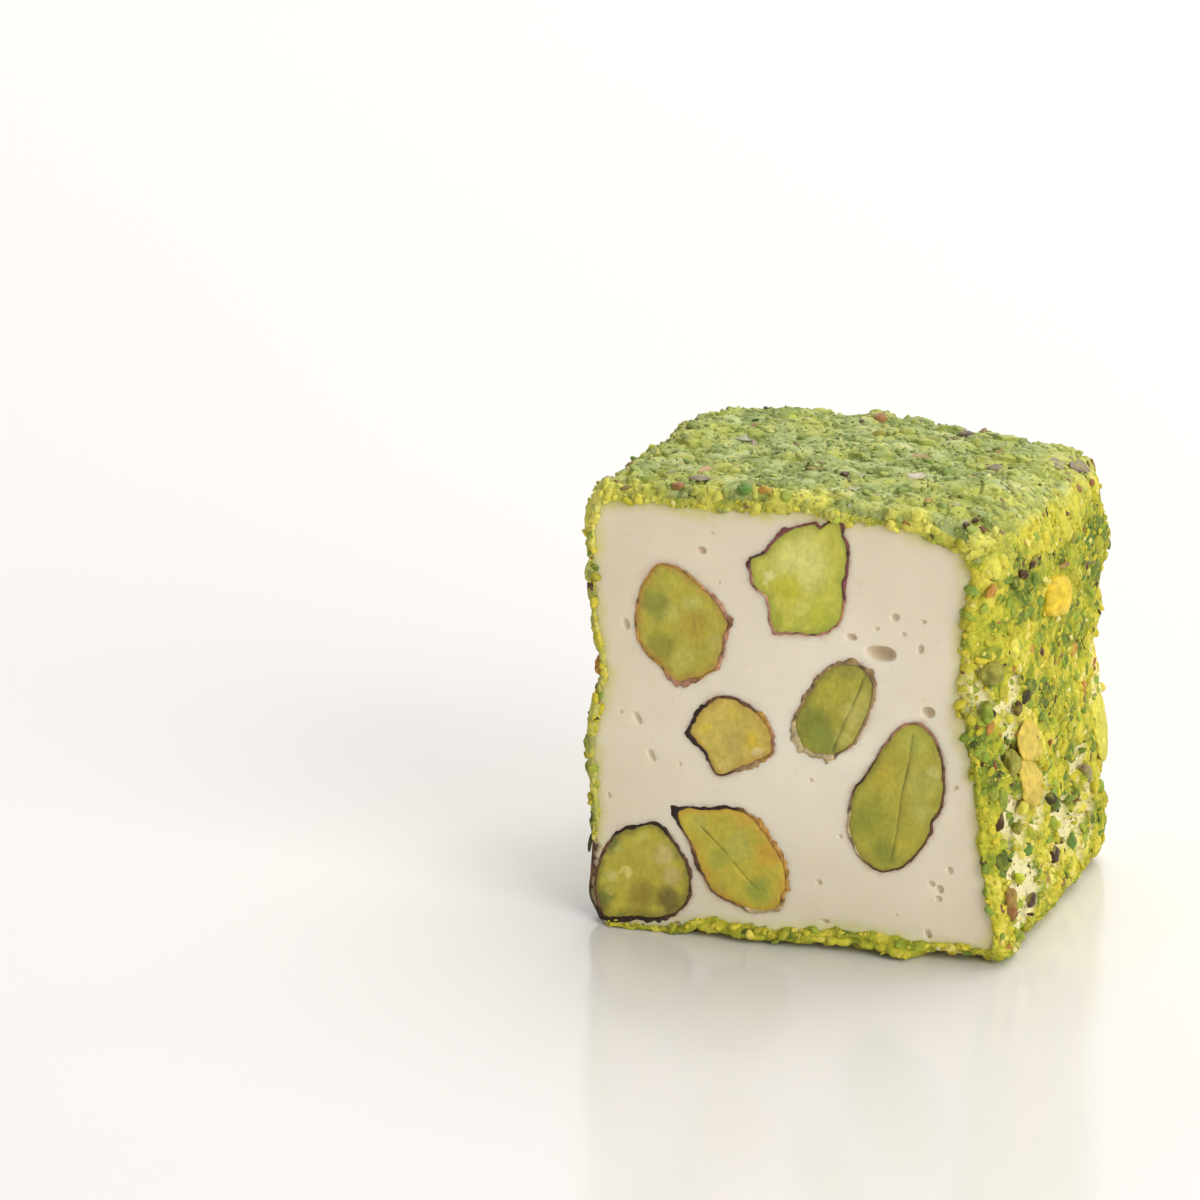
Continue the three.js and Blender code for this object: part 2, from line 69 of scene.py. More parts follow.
core_low, core_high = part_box("nougat_core")
CUT = core_high.y / MM                 # from the middle to each cut face
MIDDLE_X = (core_low.x + core_high.x) / 2 / MM
MIDDLE_Z = (core_low.z + core_high.z) / 2 / MM

UNDER_COAT = 0.62                      # from the coat's mean outside down to the nougat's long sides
FOOT_SPREAD = 1.5                      # how far the foot of the shown face spreads over the floor
FOOT_LIFT = 0.5                        # and how far its edge lifts off
CUT_BLEND = 2.2                        # length over which those sides run out to the white outline of a cut
EDGE_ROUND = 0.2                       # of the nougat's cut edges

HALF = 140                             # cells from the middle of a side to its end
AROUND = 8 * HALF                      # points round the bar

# How far the white outline of a cut face lies outside the frame's nougat, at directions in degrees.
WHITE_EDGE = [
    (-180, 0.74), (-170, 1.1), (-160, 0.85), (-150, 0.56), (-138, 0.76), (-130, 1.4), (-118, 1.0),
    (-112, 0.5), (-100, 0.9), (-89, 0.6), (-78, 0.1), (-68, 0.1), (-60, 0.5), (-49, 0.68), (-37, 0.4),
    (-19, 0.74), (-10, 0.69), (-1, 0.28), (11, -0.21), (23, -0.31), (40, 0.1), (54, -0.33), (64, 0.33),
    (80, 0.25), (90, 0.47), (111, -0.03), (120, -0.07), (130, 0.43), (136, 0.23), (146, 0.7),
    (154, 0.54), (172, 0.32), (180, 0.74),
]
# By direction: how much of the coat is worn off its top right edge, and how much thinner it is on the left.
WORN_EDGE = [(28, 0), (46, 0.75), (62, 0.75), (80, 0)]
THIN_LEFT = [(126, 0), (140, 0.5), (158, 0.8), (180, 0.55), (205, 0.5), (220, 0.3), (232, 0)]
LEAST_COAT = 0.15                      # what is left of it there at least
# How far above the floor the lowest points of each stay.
NOUGAT_LOW, COAT_LOW, CRUMBS_LOW, BITS_LOW = 0.3, 0.02, 0.45, 0.05


# ---------------------------------------------------------------- colours and nodes

def linear(code):
    """An sRGB hex colour as linear red, green, blue and alpha."""
    parts = [int(code[i:i + 2], 16) / 255 for i in (1, 3, 5)]
    return [p / 12.92 if p <= 0.04045 else ((p + 0.055) / 1.055) ** 2.4 for p in parts] + [1.0]


def add(tree, kind, inputs=(), stops=(), **settings):
    """Adds a node and gives its outputs: settings are its options, inputs its links, values or hex
    colours, and stops a ramp's colours."""
    made = tree.nodes.new(kind)
    for name, value in settings.items():
        setattr(made, name, value)
    for key, value in dict(inputs).items():
        if isinstance(value, bpy.types.NodeSocket):
            tree.links.new(value, made.inputs[key])
        else:
            coloured = isinstance(value, str) and value.startswith("#")
            made.inputs[key].default_value = linear(value) if coloured else value
    for number, (place, code) in enumerate(stops):
        elements = made.color_ramp.elements
        stop = elements[number] if number < 2 else elements.new(place)
        stop.position, stop.color = place, linear(code)
    return made.outputs


def new_material(name):
    """An empty material, its tree and the coordinates of the piece that it lies on."""
    material = bpy.data.materials.new(name)
    material.use_nodes = True
    material.node_tree.nodes.clear()
    return material, material.node_tree, add(material.node_tree, "ShaderNodeTexCoord")["Object"]


def grain(tree, place, width, detail, stretch=(1, 1, 1)):
    """An uneven grain from 0 to 1 whose features are about width millimetres wide."""
    stretched = add(tree, "ShaderNodeMapping", {"Vector": place, "Scale": stretch})[0]
    return add(tree, "ShaderNodeTexNoise", {
        "Vector": stretched, "Scale": 1 / (width * MM), "Detail": detail})[0]


def mottle(tree, place, width, detail, low, high, to_low=0.0, to_high=1.0, stretch=(1, 1, 1)):
    """A grain whose part between low and high runs from to_low to to_high, and no further."""
    return add(tree, "ShaderNodeMapRange", {
        "Value": grain(tree, place, width, detail, stretch), "From Min": low, "From Max": high,
        "To Min": to_low, "To Max": to_high})[0]


def stain(tree, colour, where, over, most=1.0, low=0.0, high=1.0):
    """Lays a second colour over the first, as a link or a value stored on the piece's points says."""
    if isinstance(where, str):
        where = add(tree, "ShaderNodeAttribute", attribute_name=where)["Fac"]
    share = add(tree, "ShaderNodeMapRange", {
        "Value": where, "From Min": low, "From Max": high, "To Max": most})[0]
    return add(tree, "ShaderNodeMix", {0: share, 6: colour, 7: over}, data_type="RGBA")[2]


def speckled(tree, place, colour, width, detail, darkest, lightest, stretch=(1, 1, 1)):
    """A colour made darker and lighter in specks about width millimetres wide."""
    specks = mottle(tree, place, width, detail, 0.3, 0.7, darkest, lightest, stretch)
    return add(tree, "ShaderNodeVectorMath", {0: colour, 3: specks}, operation="SCALE")[0]


def finish(tree, colour, roughness, gloss, see_through=None, relief=None, depth=0.0, strength=0.8):
    """Ends a material in its shader. See_through is how much light enters, how far in millimetres
    and the shares of that for red, green and blue; relief is a grain finer than the mesh, as deep
    as depth in millimetres."""
    shading = {"Base Color": colour, "Roughness": roughness, "Specular IOR Level": gloss}
    if see_through:
        weight, reach, shares = see_through
        shading |= {
            "Subsurface Weight": weight, "Subsurface Radius": shares, "Subsurface Scale": reach * MM}
    if relief is not None:
        shading["Normal"] = add(tree, "ShaderNodeBump", {
            "Height": relief, "Distance": depth * MM, "Strength": strength})[0]
    surface = add(tree, "ShaderNodeBsdfPrincipled", shading)["BSDF"]
    add(tree, "ShaderNodeOutputMaterial", {"Surface": surface})


# ---------------------------------------------------------------- smooth and crumbly unevenness

LATTICE = np.random.default_rng(5).uniform(-1, 1, (48, 48, 48))
STREWN = np.random.default_rng(8).random((40, 40, 40, 4))


def uneven(points, size, shift=0.0):
    """Smooth unevenness from -1 to 1 whose bumps are about one size wide."""
    place = np.asarray(points) / size + shift
    base = np.floor(place).astype(int)
    part = place - base
    ease = part * part * (3 - 2 * part)
    total = np.zeros(place.shape[:-1])
    for step in itertools.product((0, 1), repeat=3):
        weight = np.prod(np.where(step, ease, 1 - ease), axis=-1)
        cell = (base + step) % len(LATTICE)
        total += weight * LATTICE[cell[..., 0], cell[..., 1], cell[..., 2]]
    return total


def crumbled(points, size, shift=0.0):
    """As if packed from crumbs one size wide: each point's dome and how deep it lies in the creases between
    crumbs, from 0 to 1, and its crumb's own number."""
    place = np.asarray(points) / size + shift
    base = np.floor(place).astype(int)
    nearest = np.full(place.shape[:-1], 9.0)
    second = nearest.copy()
    own = np.zeros_like(nearest)
    for step in itertools.product((-1, 0, 1), repeat=3):
        cell = base + step
        index = cell % len(STREWN)
        drawn = STREWN[index[..., 0], index[..., 1], index[..., 2]]
        gap = np.linalg.norm(cell + drawn[..., :3] - place, axis=-1)
        closer = gap < nearest
        second = np.where(closer, nearest, np.minimum(second, gap))
        own = np.where(closer, drawn[..., 3], own)
        nearest = np.minimum(nearest, gap)
    dome = np.sqrt(np.clip(1 - (nearest / 0.85) ** 2, 0, 1))
    return dome, np.clip(1 - (second - nearest) / 0.25, 0, 1), own


def smooth_step(low, high, value):
    """0 below low, 1 above high and an even rise between."""
    share = np.clip((value - low) / (high - low), 0, 1)
    return share * share * (3 - 2 * share)


def mix(first, second, share):
    """What lies a share of the way from the first to the second."""
    return first + (second - first) * share


# ---------------------------------------------------------------- meshes

SAME_POINT = 0.004         # how near two points have to be to be made one


def new_piece(name, points, material, *faces):
    """A smooth mesh object at the origin from points in millimetres, with an array of faces for each
    number of corners."""
    mesh = bpy.data.meshes.new(name)
    points = np.asarray(points, float).reshape(-1, 3) * MM
    corners = np.concatenate([np.ravel(f) for f in faces]).astype(np.int32)
    sizes = np.repeat([np.shape(f)[1] for f in faces], [len(f) for f in faces])
    mesh.vertices.add(len(points))
    mesh.vertices.foreach_set("co", points.ravel().astype(np.float32))
    mesh.loops.add(len(corners))
    mesh.loops.foreach_set("vertex_index", corners)
    mesh.polygons.add(len(sizes))
    mesh.polygons.foreach_set("loop_start", (np.cumsum(sizes) - sizes).astype(np.int32))
    mesh.update(calc_edges=True)
    mesh.polygons.foreach_set("use_smooth", [True] * len(sizes))
    if material:
        mesh.materials.append(material)
    piece = bpy.data.objects.new(name, mesh)
    bpy.context.scene.collection.objects.link(piece)
    return piece


def mend(piece, merge=False, close=False, turn=False):
    """Merges a piece's doubled points, closes its open ends or turns its faces outwards."""
    shell = bmesh.new()
    shell.from_mesh(piece.data)
    if merge:
        bmesh.ops.remove_doubles(shell, verts=shell.verts, dist=SAME_POINT * MM)
    if close:
        bmesh.ops.holes_fill(shell, edges=[e for e in shell.edges if e.is_boundary])
    if turn:
        bmesh.ops.recalc_face_normals(shell, faces=shell.faces)
    shell.to_mesh(piece.data)
    shell.free()


def give(piece, name, values):
    """Stores a number, or a colour, for each point of a piece."""
    values = np.asarray(values, np.float32)
    colour = values.shape[-1] == 4 and values.ndim == 2
    layer = piece.data.attributes.new(name, "FLOAT_COLOR" if colour else "FLOAT", "POINT")
    layer.data.foreach_set("color" if colour else "value", values.ravel())


def grid_faces(rows, columns, close_rows=True, close_columns=False):
    """Quads between the points of a grid of rows and columns."""
    index = np.arange(rows * columns).reshape(rows, columns)
    if close_rows:
        index = np.vstack([index, index[:1]])
    if close_columns:
        index = np.hstack([index, index[:, :1]])
    quads = np.stack([index[:-1, :-1], index[1:, :-1], index[1:, 1:], index[:-1, 1:]], -1)
    return quads.reshape(-1, 4)


def grid_normals(points):
    """Outward directions of a grid whose rows run round the bar and columns along it."""
    across = np.roll(points, -1, 0) - np.roll(points, 1, 0)
    along = np.gradient(points, axis=1)
    out = np.cross(along, across)
    return out / np.maximum(np.linalg.norm(out, axis=-1, keepdims=True), 1e-9)


def dress(piece, slot, *nodes):
    """Lets a finished piece ride on the block and stand for its nodes, which it hides; slot is not used."""
    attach(piece, "root")
    if nodes:
        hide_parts(*nodes)


# ---------------------------------------------------------------- the block's form, read from the frame

def surface_of(node):
    """A CAD node's surface, in millimetres, to cast rays at."""
    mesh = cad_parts[node].data
    return BVHTree.FromPolygons([v.co / MM for v in mesh.vertices], [p.vertices for p in mesh.polygons])


def square_angles():
    """The directions, from its middle, of even points on a square's edge: anticlockwise from the right."""
    side = np.arange(-HALF, HALF) / HALF
    one = np.ones_like(side)
    return np.arctan2(np.concatenate([side, one, -side, -one]), np.concatenate([one, -side, -one, side]))


ANGLES = square_angles()
GRID = 0.13                                           # mean step round the bar
FAR = 60.0                                            # where rays that look for the sides start
OFF_THE_CUT = 0.4                                     # and how far from a cut they stay
STATIONS = np.linspace(-CUT, CUT, 58)
BREAKOUT = (math.radians(-175), math.radians(-110))   # the bottom left corner, where a kernel breaks out
BREAKOUT_LENGTH = 9.0                                 # and how far along the bar
BREAKOUT_KERNEL = "pistachio_6"


def trace_sides(node, smooth_round, smooth_along):
    """How far a node's outside lies from the bar's middle line, by direction and station, smoothed."""
    surface = surface_of(node)
    reach = np.empty((AROUND, len(STATIONS)))
    for i, angle in enumerate(ANGLES):
        out = Vector((math.cos(angle), 0, math.sin(angle)))
        for j, y in enumerate(np.clip(STATIONS, OFF_THE_CUT - CUT, CUT - OFF_THE_CUT)):
            middle = Vector((MIDDLE_X, y, MIDDLE_Z))
            reach[i, j] = (surface.ray_cast(middle + out * FAR, -out)[0] - middle).length
    corner = (ANGLES > BREAKOUT[0]) & (ANGLES < BREAKOUT[1])
    behind = np.searchsorted(STATIONS, BREAKOUT_LENGTH - CUT)
    reach[corner, :behind] = reach[corner, behind][:, None]
    reach = blurred(reach, smooth_round / GRID, 0, "wrap")
    return blurred(reach, smooth_along / (STATIONS[1] - STATIONS[0]), 1, "clip")


def blurred(table, width, axis, ends):
    """A table smoothed along one axis by a Gaussian that many entries wide."""
    steps = range(-round(3 * width), round(3 * width) + 1)
    weights = [math.exp(-0.5 * (step / max(width, 0.1)) ** 2) for step in steps]
    places = np.arange(table.shape[axis])
    moved = [np.take(table, places + step, axis, mode=ends) * weight for step, weight in zip(steps, weights)]
    return sum(moved) / sum(weights)


CORE = trace_sides("nougat_core", 0.7, 0.0)
COAT = trace_sides("pistachio_coat", 1.1, 1.2)

DEGREES = np.degrees(ANGLES)[:, None]
WHITE = np.interp(DEGREES, *zip(*WHITE_EDGE))

# The bar is worn down along its top right edge, more and more towards the back.
COAT -= np.interp(DEGREES, *zip(*WORN_EDGE)) * np.clip((STATIONS + 4) / 17, 0, 1)

# The coat is thin on the left, and at the shown cut little of it stands out past the white outline.
thin = np.interp(DEGREES % 360, *zip(*THIN_LEFT))
COAT = np.where(thin > 0, np.maximum(COAT - thin, CORE + WHITE + LEAST_COAT), COAT)


def on_sides(reach, lift, y):
    """Points of a traced outside, raised by lift: a row for each direction, a column for each place y."""
    y = np.broadcast_to(y, (AROUND, np.shape(y)[-1]))
    station = np.clip((y + CUT) / (2 * CUT), 0, 1) * (len(STATIONS) - 1)
    low = np.minimum(station.astype(int), len(STATIONS) - 2)
    row = np.arange(AROUND)[:, None]
    reach = mix(reach[row, low], reach[row, low + 1], station - low)
    x = MIDDLE_X + np.cos(ANGLES)[:, None] * reach
    z = MIDDLE_Z + np.sin(ANGLES)[:, None] * reach
    run_x = np.roll(x, -5, 0) - np.roll(x, 5, 0)
    run_z = np.roll(z, -5, 0) - np.roll(z, 5, 0)
    size = np.hypot(run_x, run_z)
    return np.stack([x + lift * run_z / size, y, z - lift * run_x / size], -1)


def nougat_sides(y, inset=0.0):
    """The nougat's long sides: close under the coat, and out to the white outline at each cut."""
    inside = on_sides(COAT, -UNDER_COAT - inset, y)
    edge = on_sides(CORE, WHITE - inset, y)
    share = smooth_step(CUT_BLEND, 0.2, CUT - np.abs(inside[..., 1]))
    return mix(inside, edge, share[..., None])


def settled(points):
    """The points as the block sits: its foot spreads forward in front, and that edge lifts a little."""
    x, y, z = points[..., 0], points[..., 1], points[..., 2]
    spread = smooth_step(-17.3, -15.6, x) * smooth_step(13.0, 9.0, x) * smooth_step(1.8, 0.0, z)
    lifted = smooth_step(-9.5, -7.5, x) * smooth_step(17.5, 15.5, x) * smooth_step(2.6, 0.4, z)
    near = smooth_step(3.5 - CUT, -CUT, y)
    return points + np.stack([0 * x, -FOOT_SPREAD * spread * near, FOOT_LIFT * lifted * near], -1)


def within(u, z, side):
    """How far inside the nougat's cut outline a point of a cut face lies."""
    rim = nougat_sides(np.array([side * CUT]), EDGE_ROUND)[:, 0]
    turn = np.arctan2(rim[:, 2] - MIDDLE_Z, rim[:, 0] - MIDDLE_X)
    order = np.argsort(turn)
    reach = np.hypot(rim[:, 2] - MIDDLE_Z, rim[:, 0] - MIDDLE_X)[order]
    x, up = -side * u - MIDDLE_X, z - MIDDLE_Z
    return np.interp(np.arctan2(up, x), turn[order], reach, period=math.tau) - np.hypot(x, up)


def on_face(side, u, z, proud):
    """A cut face's points: u runs to the right as one looks at it, proud is how far they stand out."""
    return settled(np.stack([-side * u, side * (CUT + proud), z], -1))


# ---------------------------------------------------------------- kernels, as the frame has them

KERNEL_AROUND = 180
KERNEL_TURNS = np.arange(KERNEL_AROUND) / KERNEL_AROUND * math.tau
KERNEL_PROUD = 0.15        # how far its cut face stands out
SEAM_HIGH, SEAM_LOW = 0.05, 0.45       # below which and above which depths a seam's corners lie
SEAM_END = 1.5             # how far apart the corners of one end of a seam may be


def farthest_pair(points):
    """The two ends of a groove, from the corner points that its cutter left."""
    pairs = itertools.combinations(points, 2)
    ends = max(pairs, key=lambda pair: (pair[0] - pair[1]).length)
    near = [[p for p in points if (p - end).length < SEAM_END] for end in ends]
    return [sum(group, Vector((0, 0))) / len(group) for group in near]


def trace_kernel(node):
    """A kernel's side of the block, middle, cut outline, depth and seam, in its cut face's own terms."""
    low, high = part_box(node)
    side = -1 if low.y < -CUT * MM else 1
    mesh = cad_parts[node].data
    points = [(-side * x / MM, z / MM, CUT + KERNEL_PROUD - side * y / MM)
              for x, y, z in (v.co for v in mesh.vertices)]
    cut = np.array([p[:2] for p in points if p[2] < 0.02])
    u, z = (cut.min(0) + cut.max(0)) / 2
    surface = surface_of(node)
    middle = Vector((-side * u, side * (CUT + 0.05), z))
    reach = []
    for turn in KERNEL_TURNS:
        out = Vector((-side * math.cos(turn), 0, math.sin(turn)))
        reach.append((surface.ray_cast(middle + out * 30, -out)[0] - middle).length)
    reach = np.array(reach)
    inner = [Vector(p[:2]) for p in points if SEAM_HIGH < p[2] < SEAM_LOW]
    inner = [p for p in inner if math.hypot(p.x - u, p.y - z) < 0.97 * reach.max()]
    number = int(node.rsplit("_", 1)[1])
    return {
        "node": node, "side": side, "middle": np.array([u, z]), "reach": reach,
        "look": number if side < 0 else BACK_LIKE[number],
        "depth": (high.y - low.y) / MM - KERNEL_PROUD,
        "seam": farthest_pair(inner) if len(inner) > 3 else None,
    }


def polar(shape, u, z):
    """A face point's share of a closed shape's reach, and that reach, from its middle."""
    du, dz = u - shape["middle"][0], z - shape["middle"][1]
    turns = np.linspace(0, math.tau, len(shape["reach"]) + 1)
    reach = np.interp(np.arctan2(dz, du) % math.tau, turns, np.append(shape["reach"], shape["reach"][0]))
    return np.hypot(du, dz) / reach, reach


BACK_LIKE = {1: 5, 2: 1, 3: 4, 4: 3, 5: 7, 6: 2}       # which front kernel each back kernel looks like

# Where a kernel's outline runs in a corner or a hollow: direction in degrees, how far out or in, half width.
CORNERS = {
    1: [(243, -0.3, 0.7), (268, 0.2, 0.5), (5, 0.15, 0.5), (-49, 1.0, 1.6)],
    2: [(58, 0.75, 0.6), (68, -0.45, 0.35), (79, 0.2, 0.7), (246, 0.45, 0.7), (270, -0.4, 1.6),
        (214, -0.35, 0.9), (0, -0.25, 1.4), (161, 0.3, 0.6), (145, -0.2, 0.8)],
    3: [(182, 0.3, 0.7), (249, 0.2, 0.6), (285, -0.35, 1.1), (318, -0.3, 0.5), (345, 0.25, 0.5),
        (215, -0.12, 1.2)],
    4: [(235, 0.15, 0.8), (0, -0.28, 60), (139, -0.35, 2.2)],
    5: [(331, -0.25, 0.6), (140, -0.3, 3.0), (118, -0.3, 2.0), (205, -0.15, 0.5)],
    6: [(100, -0.15, 0.8), (72, 0.25, 0.9), (232, 0.2, 0.8), (190, -0.1, 1.0), (268, -0.25, 3.5)],
    7: [(140, 0.1, 0.5), (330, -0.25, 0.4), (222, -0.2, 0.8), (100, -0.12, 1.0)],
}


def ring_points(shape, share=1.0, inset=0.0):
    """Points round a closed shape's middle, at a share of its reach less an inset."""
    turns = np.arange(len(shape["reach"])) / len(shape["reach"]) * math.tau
    reach = shape["reach"] * share - inset
    return shape["middle"] + np.stack([np.cos(turns), np.sin(turns)], -1) * reach[:, None]


def kernel_outline(kernel):
    """The cut outline rounded over the frame's facets, with its corners and a grain-sized raggedness."""
    reach = blurred(kernel["reach"], 2.6, 0, "wrap")
    for direction, change, half in CORNERS[kernel["look"]]:
        away = (KERNEL_TURNS - math.radians(direction) + math.pi) % math.tau - math.pi
        reach = reach + change * np.clip(1 - np.abs(away) * reach / (1.6 * half), 0, 1)
    rim = np.insert(ring_points(kernel | {"reach": reach}), 2, 0.0, axis=-1)
    return reach + 0.06 * uneven(rim, 0.8) + 0.05 * uneven(rim, 0.3)


kernels = [trace_kernel(name) for name in sorted(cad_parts) if name[-1].isdigit()]
for kernel in kernels:
    kernel["reach"] = kernel_outline(kernel)
BROKEN_OUT = next(k for k in kernels if k["node"] == BREAKOUT_KERNEL)


# ---------------------------------------------------------------- nougat

# Air bubbles opened by each cut: u, z, half width, half height and a turn in degrees.
FRONT_BUBBLES = [
    (7.1, 24.9, 1.15, 0.66, -6), (-7.9, 31.9, 0.42, 0.34, 0), (8.1, 28.0, 0.4, 0.34, 30),
    (4.5, 26.0, 0.5, 0.32, 0), (10.2, 25.6, 0.42, 0.3, 60), (10.4, 27.9, 0.3, 0.2, 0),
    (6.6, 26.9, 0.26, 0.2, 20), (8.8, 26.7, 0.26, 0.2, 0), (-14.15, 25.2, 0.34, 0.5, 10),
    (-13.2, 17.4, 0.3, 0.58, 25), (-12.0, 14.4, 0.3, 0.55, 30), (10.9, 20.5, 0.6, 0.5, 0),
    (13.2, 14.5, 0.34, 0.2, 20), (1.3, 13.8, 0.24, 0.2, 0), (3.8, 9.4, 0.24, 0.2, 0),
    (2.1, 5.3, 0.3, 0.26, 0), (12.9, 7.6, 0.3, 0.34, 0), (11.4, 6.3, 0.34, 0.26, 0),
    (12.1, 5.9, 0.36, 0.4, 0), (12.0, 5.1, 0.34, 0.28, 0), (11.2, 1.9, 0.32, 0.55, 15),
    (2.65, 2.0, 0.4, 0.24, 0), (-14.6, 17.8, 0.2, 0.16, 0), (-9.6, 14.0, 0.18, 0.2, 0),
    (-15.6, 10.6, 0.2, 0.28, 0), (-7.0, 33.4, 0.16, 0.13, 0), (-6.4, 29.4, 0.16, 0.13, 0),
    (5.4, 12.7, 0.2, 0.16, 0), (8.6, 3.4, 0.16, 0.12, 0), (9.6, 1.0, 0.16, 0.12, 0),
]
BACK_BUBBLES = [
    (-1.5, 23.4, 0.9, 0.6, 15), (-13.4, 18.2, 0.45, 0.4, 0), (12.2, 26.4, 0.36, 0.5, 0),
    (-1.8, 12.6, 0.5, 0.38, 0), (11.8, 10.2, 0.4, 0.34, 30), (-12.6, 4.6, 0.42, 0.4, 0),
    (-2.2, 4.4, 0.32, 0.38, 0), (-9.6, 32.0, 0.3, 0.24, 0), (2.0, 33.0, 0.3, 0.3, 0),
]
BUBBLE_AROUND = 28
BUBBLE_RINGS = (1.12, 1.0, 0.95, 0.84, 0.66, 0.4, 0.12)
FACE_GRID = 0.42          # between the points of a bare cut face
POCKET_LIP = 0.07         # how far the nougat runs under a kernel's rim
NOUGAT_STEP = 2           # the nougat has every second one of the points round the bar


def bubble_shape(bubble):
    """A bubble's outline; the larger ones run out to a point on one side, as a drawn-out air cell does."""
    u, z, wide, high, turn = bubble
    turns = np.arange(BUBBLE_AROUND) / BUBBLE_AROUND * math.tau
    reach = 1 / np.hypot(np.cos(turns) / wide, np.sin(turns) / high)
    reach *= 1 + 0.32 * smooth_step(0.5, 1.0, wide) * np.clip(-np.cos(turns), 0, 1) ** 6
    return {
        "middle": np.array([u, z]), "reach": np.roll(reach, round(turn / 360 * BUBBLE_AROUND)),
        # colour: how strongly painted shade darkens the bubble's pit, more in the wider bubbles
        "depth": 1.1 * min(wide, high), "colour": smooth_step(0.1, 0.9, wide),
    }


def face_height(side, u, z, bubbles):
    """How far a nougat face stands out at its points, its staining, painted shade in its pits and a painted
    pool of light.
    """
    spots = np.stack([u, np.full_like(u, side * CUT), z], -1)
    drawn = np.stack([u * 0.12, np.zeros_like(u), z * 1.4], -1)
    height = 0.11 * uneven(spots, 6.0) + 0.045 * uneven(spots, 2.0) + 0.02 * uneven(spots, 0.9)
    height += 0.015 * uneven(drawn, 1.0)
    room = within(u, z, side)
    height *= smooth_step(0.0, 1.5, room)
    # pit: painted shade in the bubble hollows, darkest at their bottoms
    pit = np.zeros_like(u)
    green = smooth_step(1.5, 0.0, room + 0.5 * uneven(spots, 1.3)) * 0.75
    husk = smooth_step(0.6, 0.4, room + 0.1 * uneven(spots, 0.8)) * in_breakout(spots, SKIN_ROOM) * (side < 0)
    brown = np.zeros_like(u)
    for bubble in bubbles:
        share, _ = polar(bubble, u, z)
        hollow = np.sqrt(np.clip(1 - share ** 2, 0, 1))
        height -= bubble["depth"] * hollow
        pit = np.maximum(pit, hollow * bubble["colour"])
    for kernel in kernels:
        if kernel["side"] == side:
            share, reach = polar(kernel, u, z)
            brown = np.maximum(brown, smooth_step(0.5, 0.0, (share - 1) * reach + 0.25 * uneven(spots, 0.8)))
            inside = share * reach < reach - POCKET_LIP - 0.05
            pocket = kernel["depth"] * np.sqrt(np.clip(1 - share ** 2, 0, 1)) + 0.3
            height = np.where(inside, -pocket, height)
            if kernel is BROKEN_OUT:
                husk = np.maximum(husk, inside)
    # pale: lighter towards the middle of the face, a painted pool of light, and in cloudy patches and streaks
    # of the nougat's own tone
    pale = np.exp(-((u - 2) ** 2 + (z - 17) ** 2) / 180) + 0.15 * uneven(spots, 5.0)
    pale += 0.1 * uneven(drawn, 2.5)
    return height, {"pit": pit, "green": green, "brown": brown, "husk": husk, "pale": np.clip(pale, 0, 1)}


def nougat_face(side, bubbles):
    """Points, triangles, staining and painted shading of one cut face: Delaunay triangles round its bubbles
    and pockets.
    """
    rim = nougat_sides(np.array([side * CUT]), EDGE_ROUND)[::NOUGAT_STEP, 0]
    loop = np.stack([-side * rim[:, 0], rim[:, 2]], -1)
    across, up = np.meshgrid(np.arange(-48, 49), np.arange(108))
    spread = np.stack([(across + 0.5 * (up % 2)) * FACE_GRID, up * FACE_GRID * 0.87], -1).reshape(-1, 2)
    spread += 0.08 * np.random.default_rng(3).uniform(-1, 1, spread.shape)
    own_kernels = [k for k in kernels if k["side"] == side]
    rings = [ring_points(b, share) for b in bubbles for share in BUBBLE_RINGS]
    rings += [ring_points(k, 1.0, inset) for k in own_kernels for inset in (POCKET_LIP, POCKET_LIP + 0.1)]
    rings += [ring_points(k, share) for k in own_kernels for share in (0.8, 0.55, 0.25)]
    for ring_shape, room in [(b, 1.25) for b in bubbles] + [(k, 1.0) for k in own_kernels]:
        share, _ = polar(ring_shape, spread[:, 0], spread[:, 1])
        spread = spread[share > room]
    inner = np.concatenate([spread, *rings])
    inner = inner[within(inner[:, 0], inner[:, 1], side) > 0.2]
    flat = [Vector(p) for p in np.concatenate([loop, inner])]
    edges = [(i, (i + 1) % len(loop)) for i in range(len(loop))]
    spots, _, faces, *_ = delaunay_2d_cdt(flat, edges, [], 1, 1e-4, False)
    u, z = np.array([tuple(v) for v in spots]).T
    height, stains_and_shading = face_height(side, u, z, bubbles)
    height[:len(loop)] = 0
    # A triangle between three points of the loop lies outside it where it turns the other way.
    corners = np.sort(np.array([list(f) for f in faces]), axis=1)
    across, up = (c[corners[:, 1:]] - c[corners[:, :1]] for c in (u, z))
    turning = side * (across[:, 1] * up[:, 0] - across[:, 0] * up[:, 1])
    kept = (corners[:, 2] >= len(loop)) | (turning > 0)
    return on_face(side, u, z, height), corners[kept], stains_and_shading


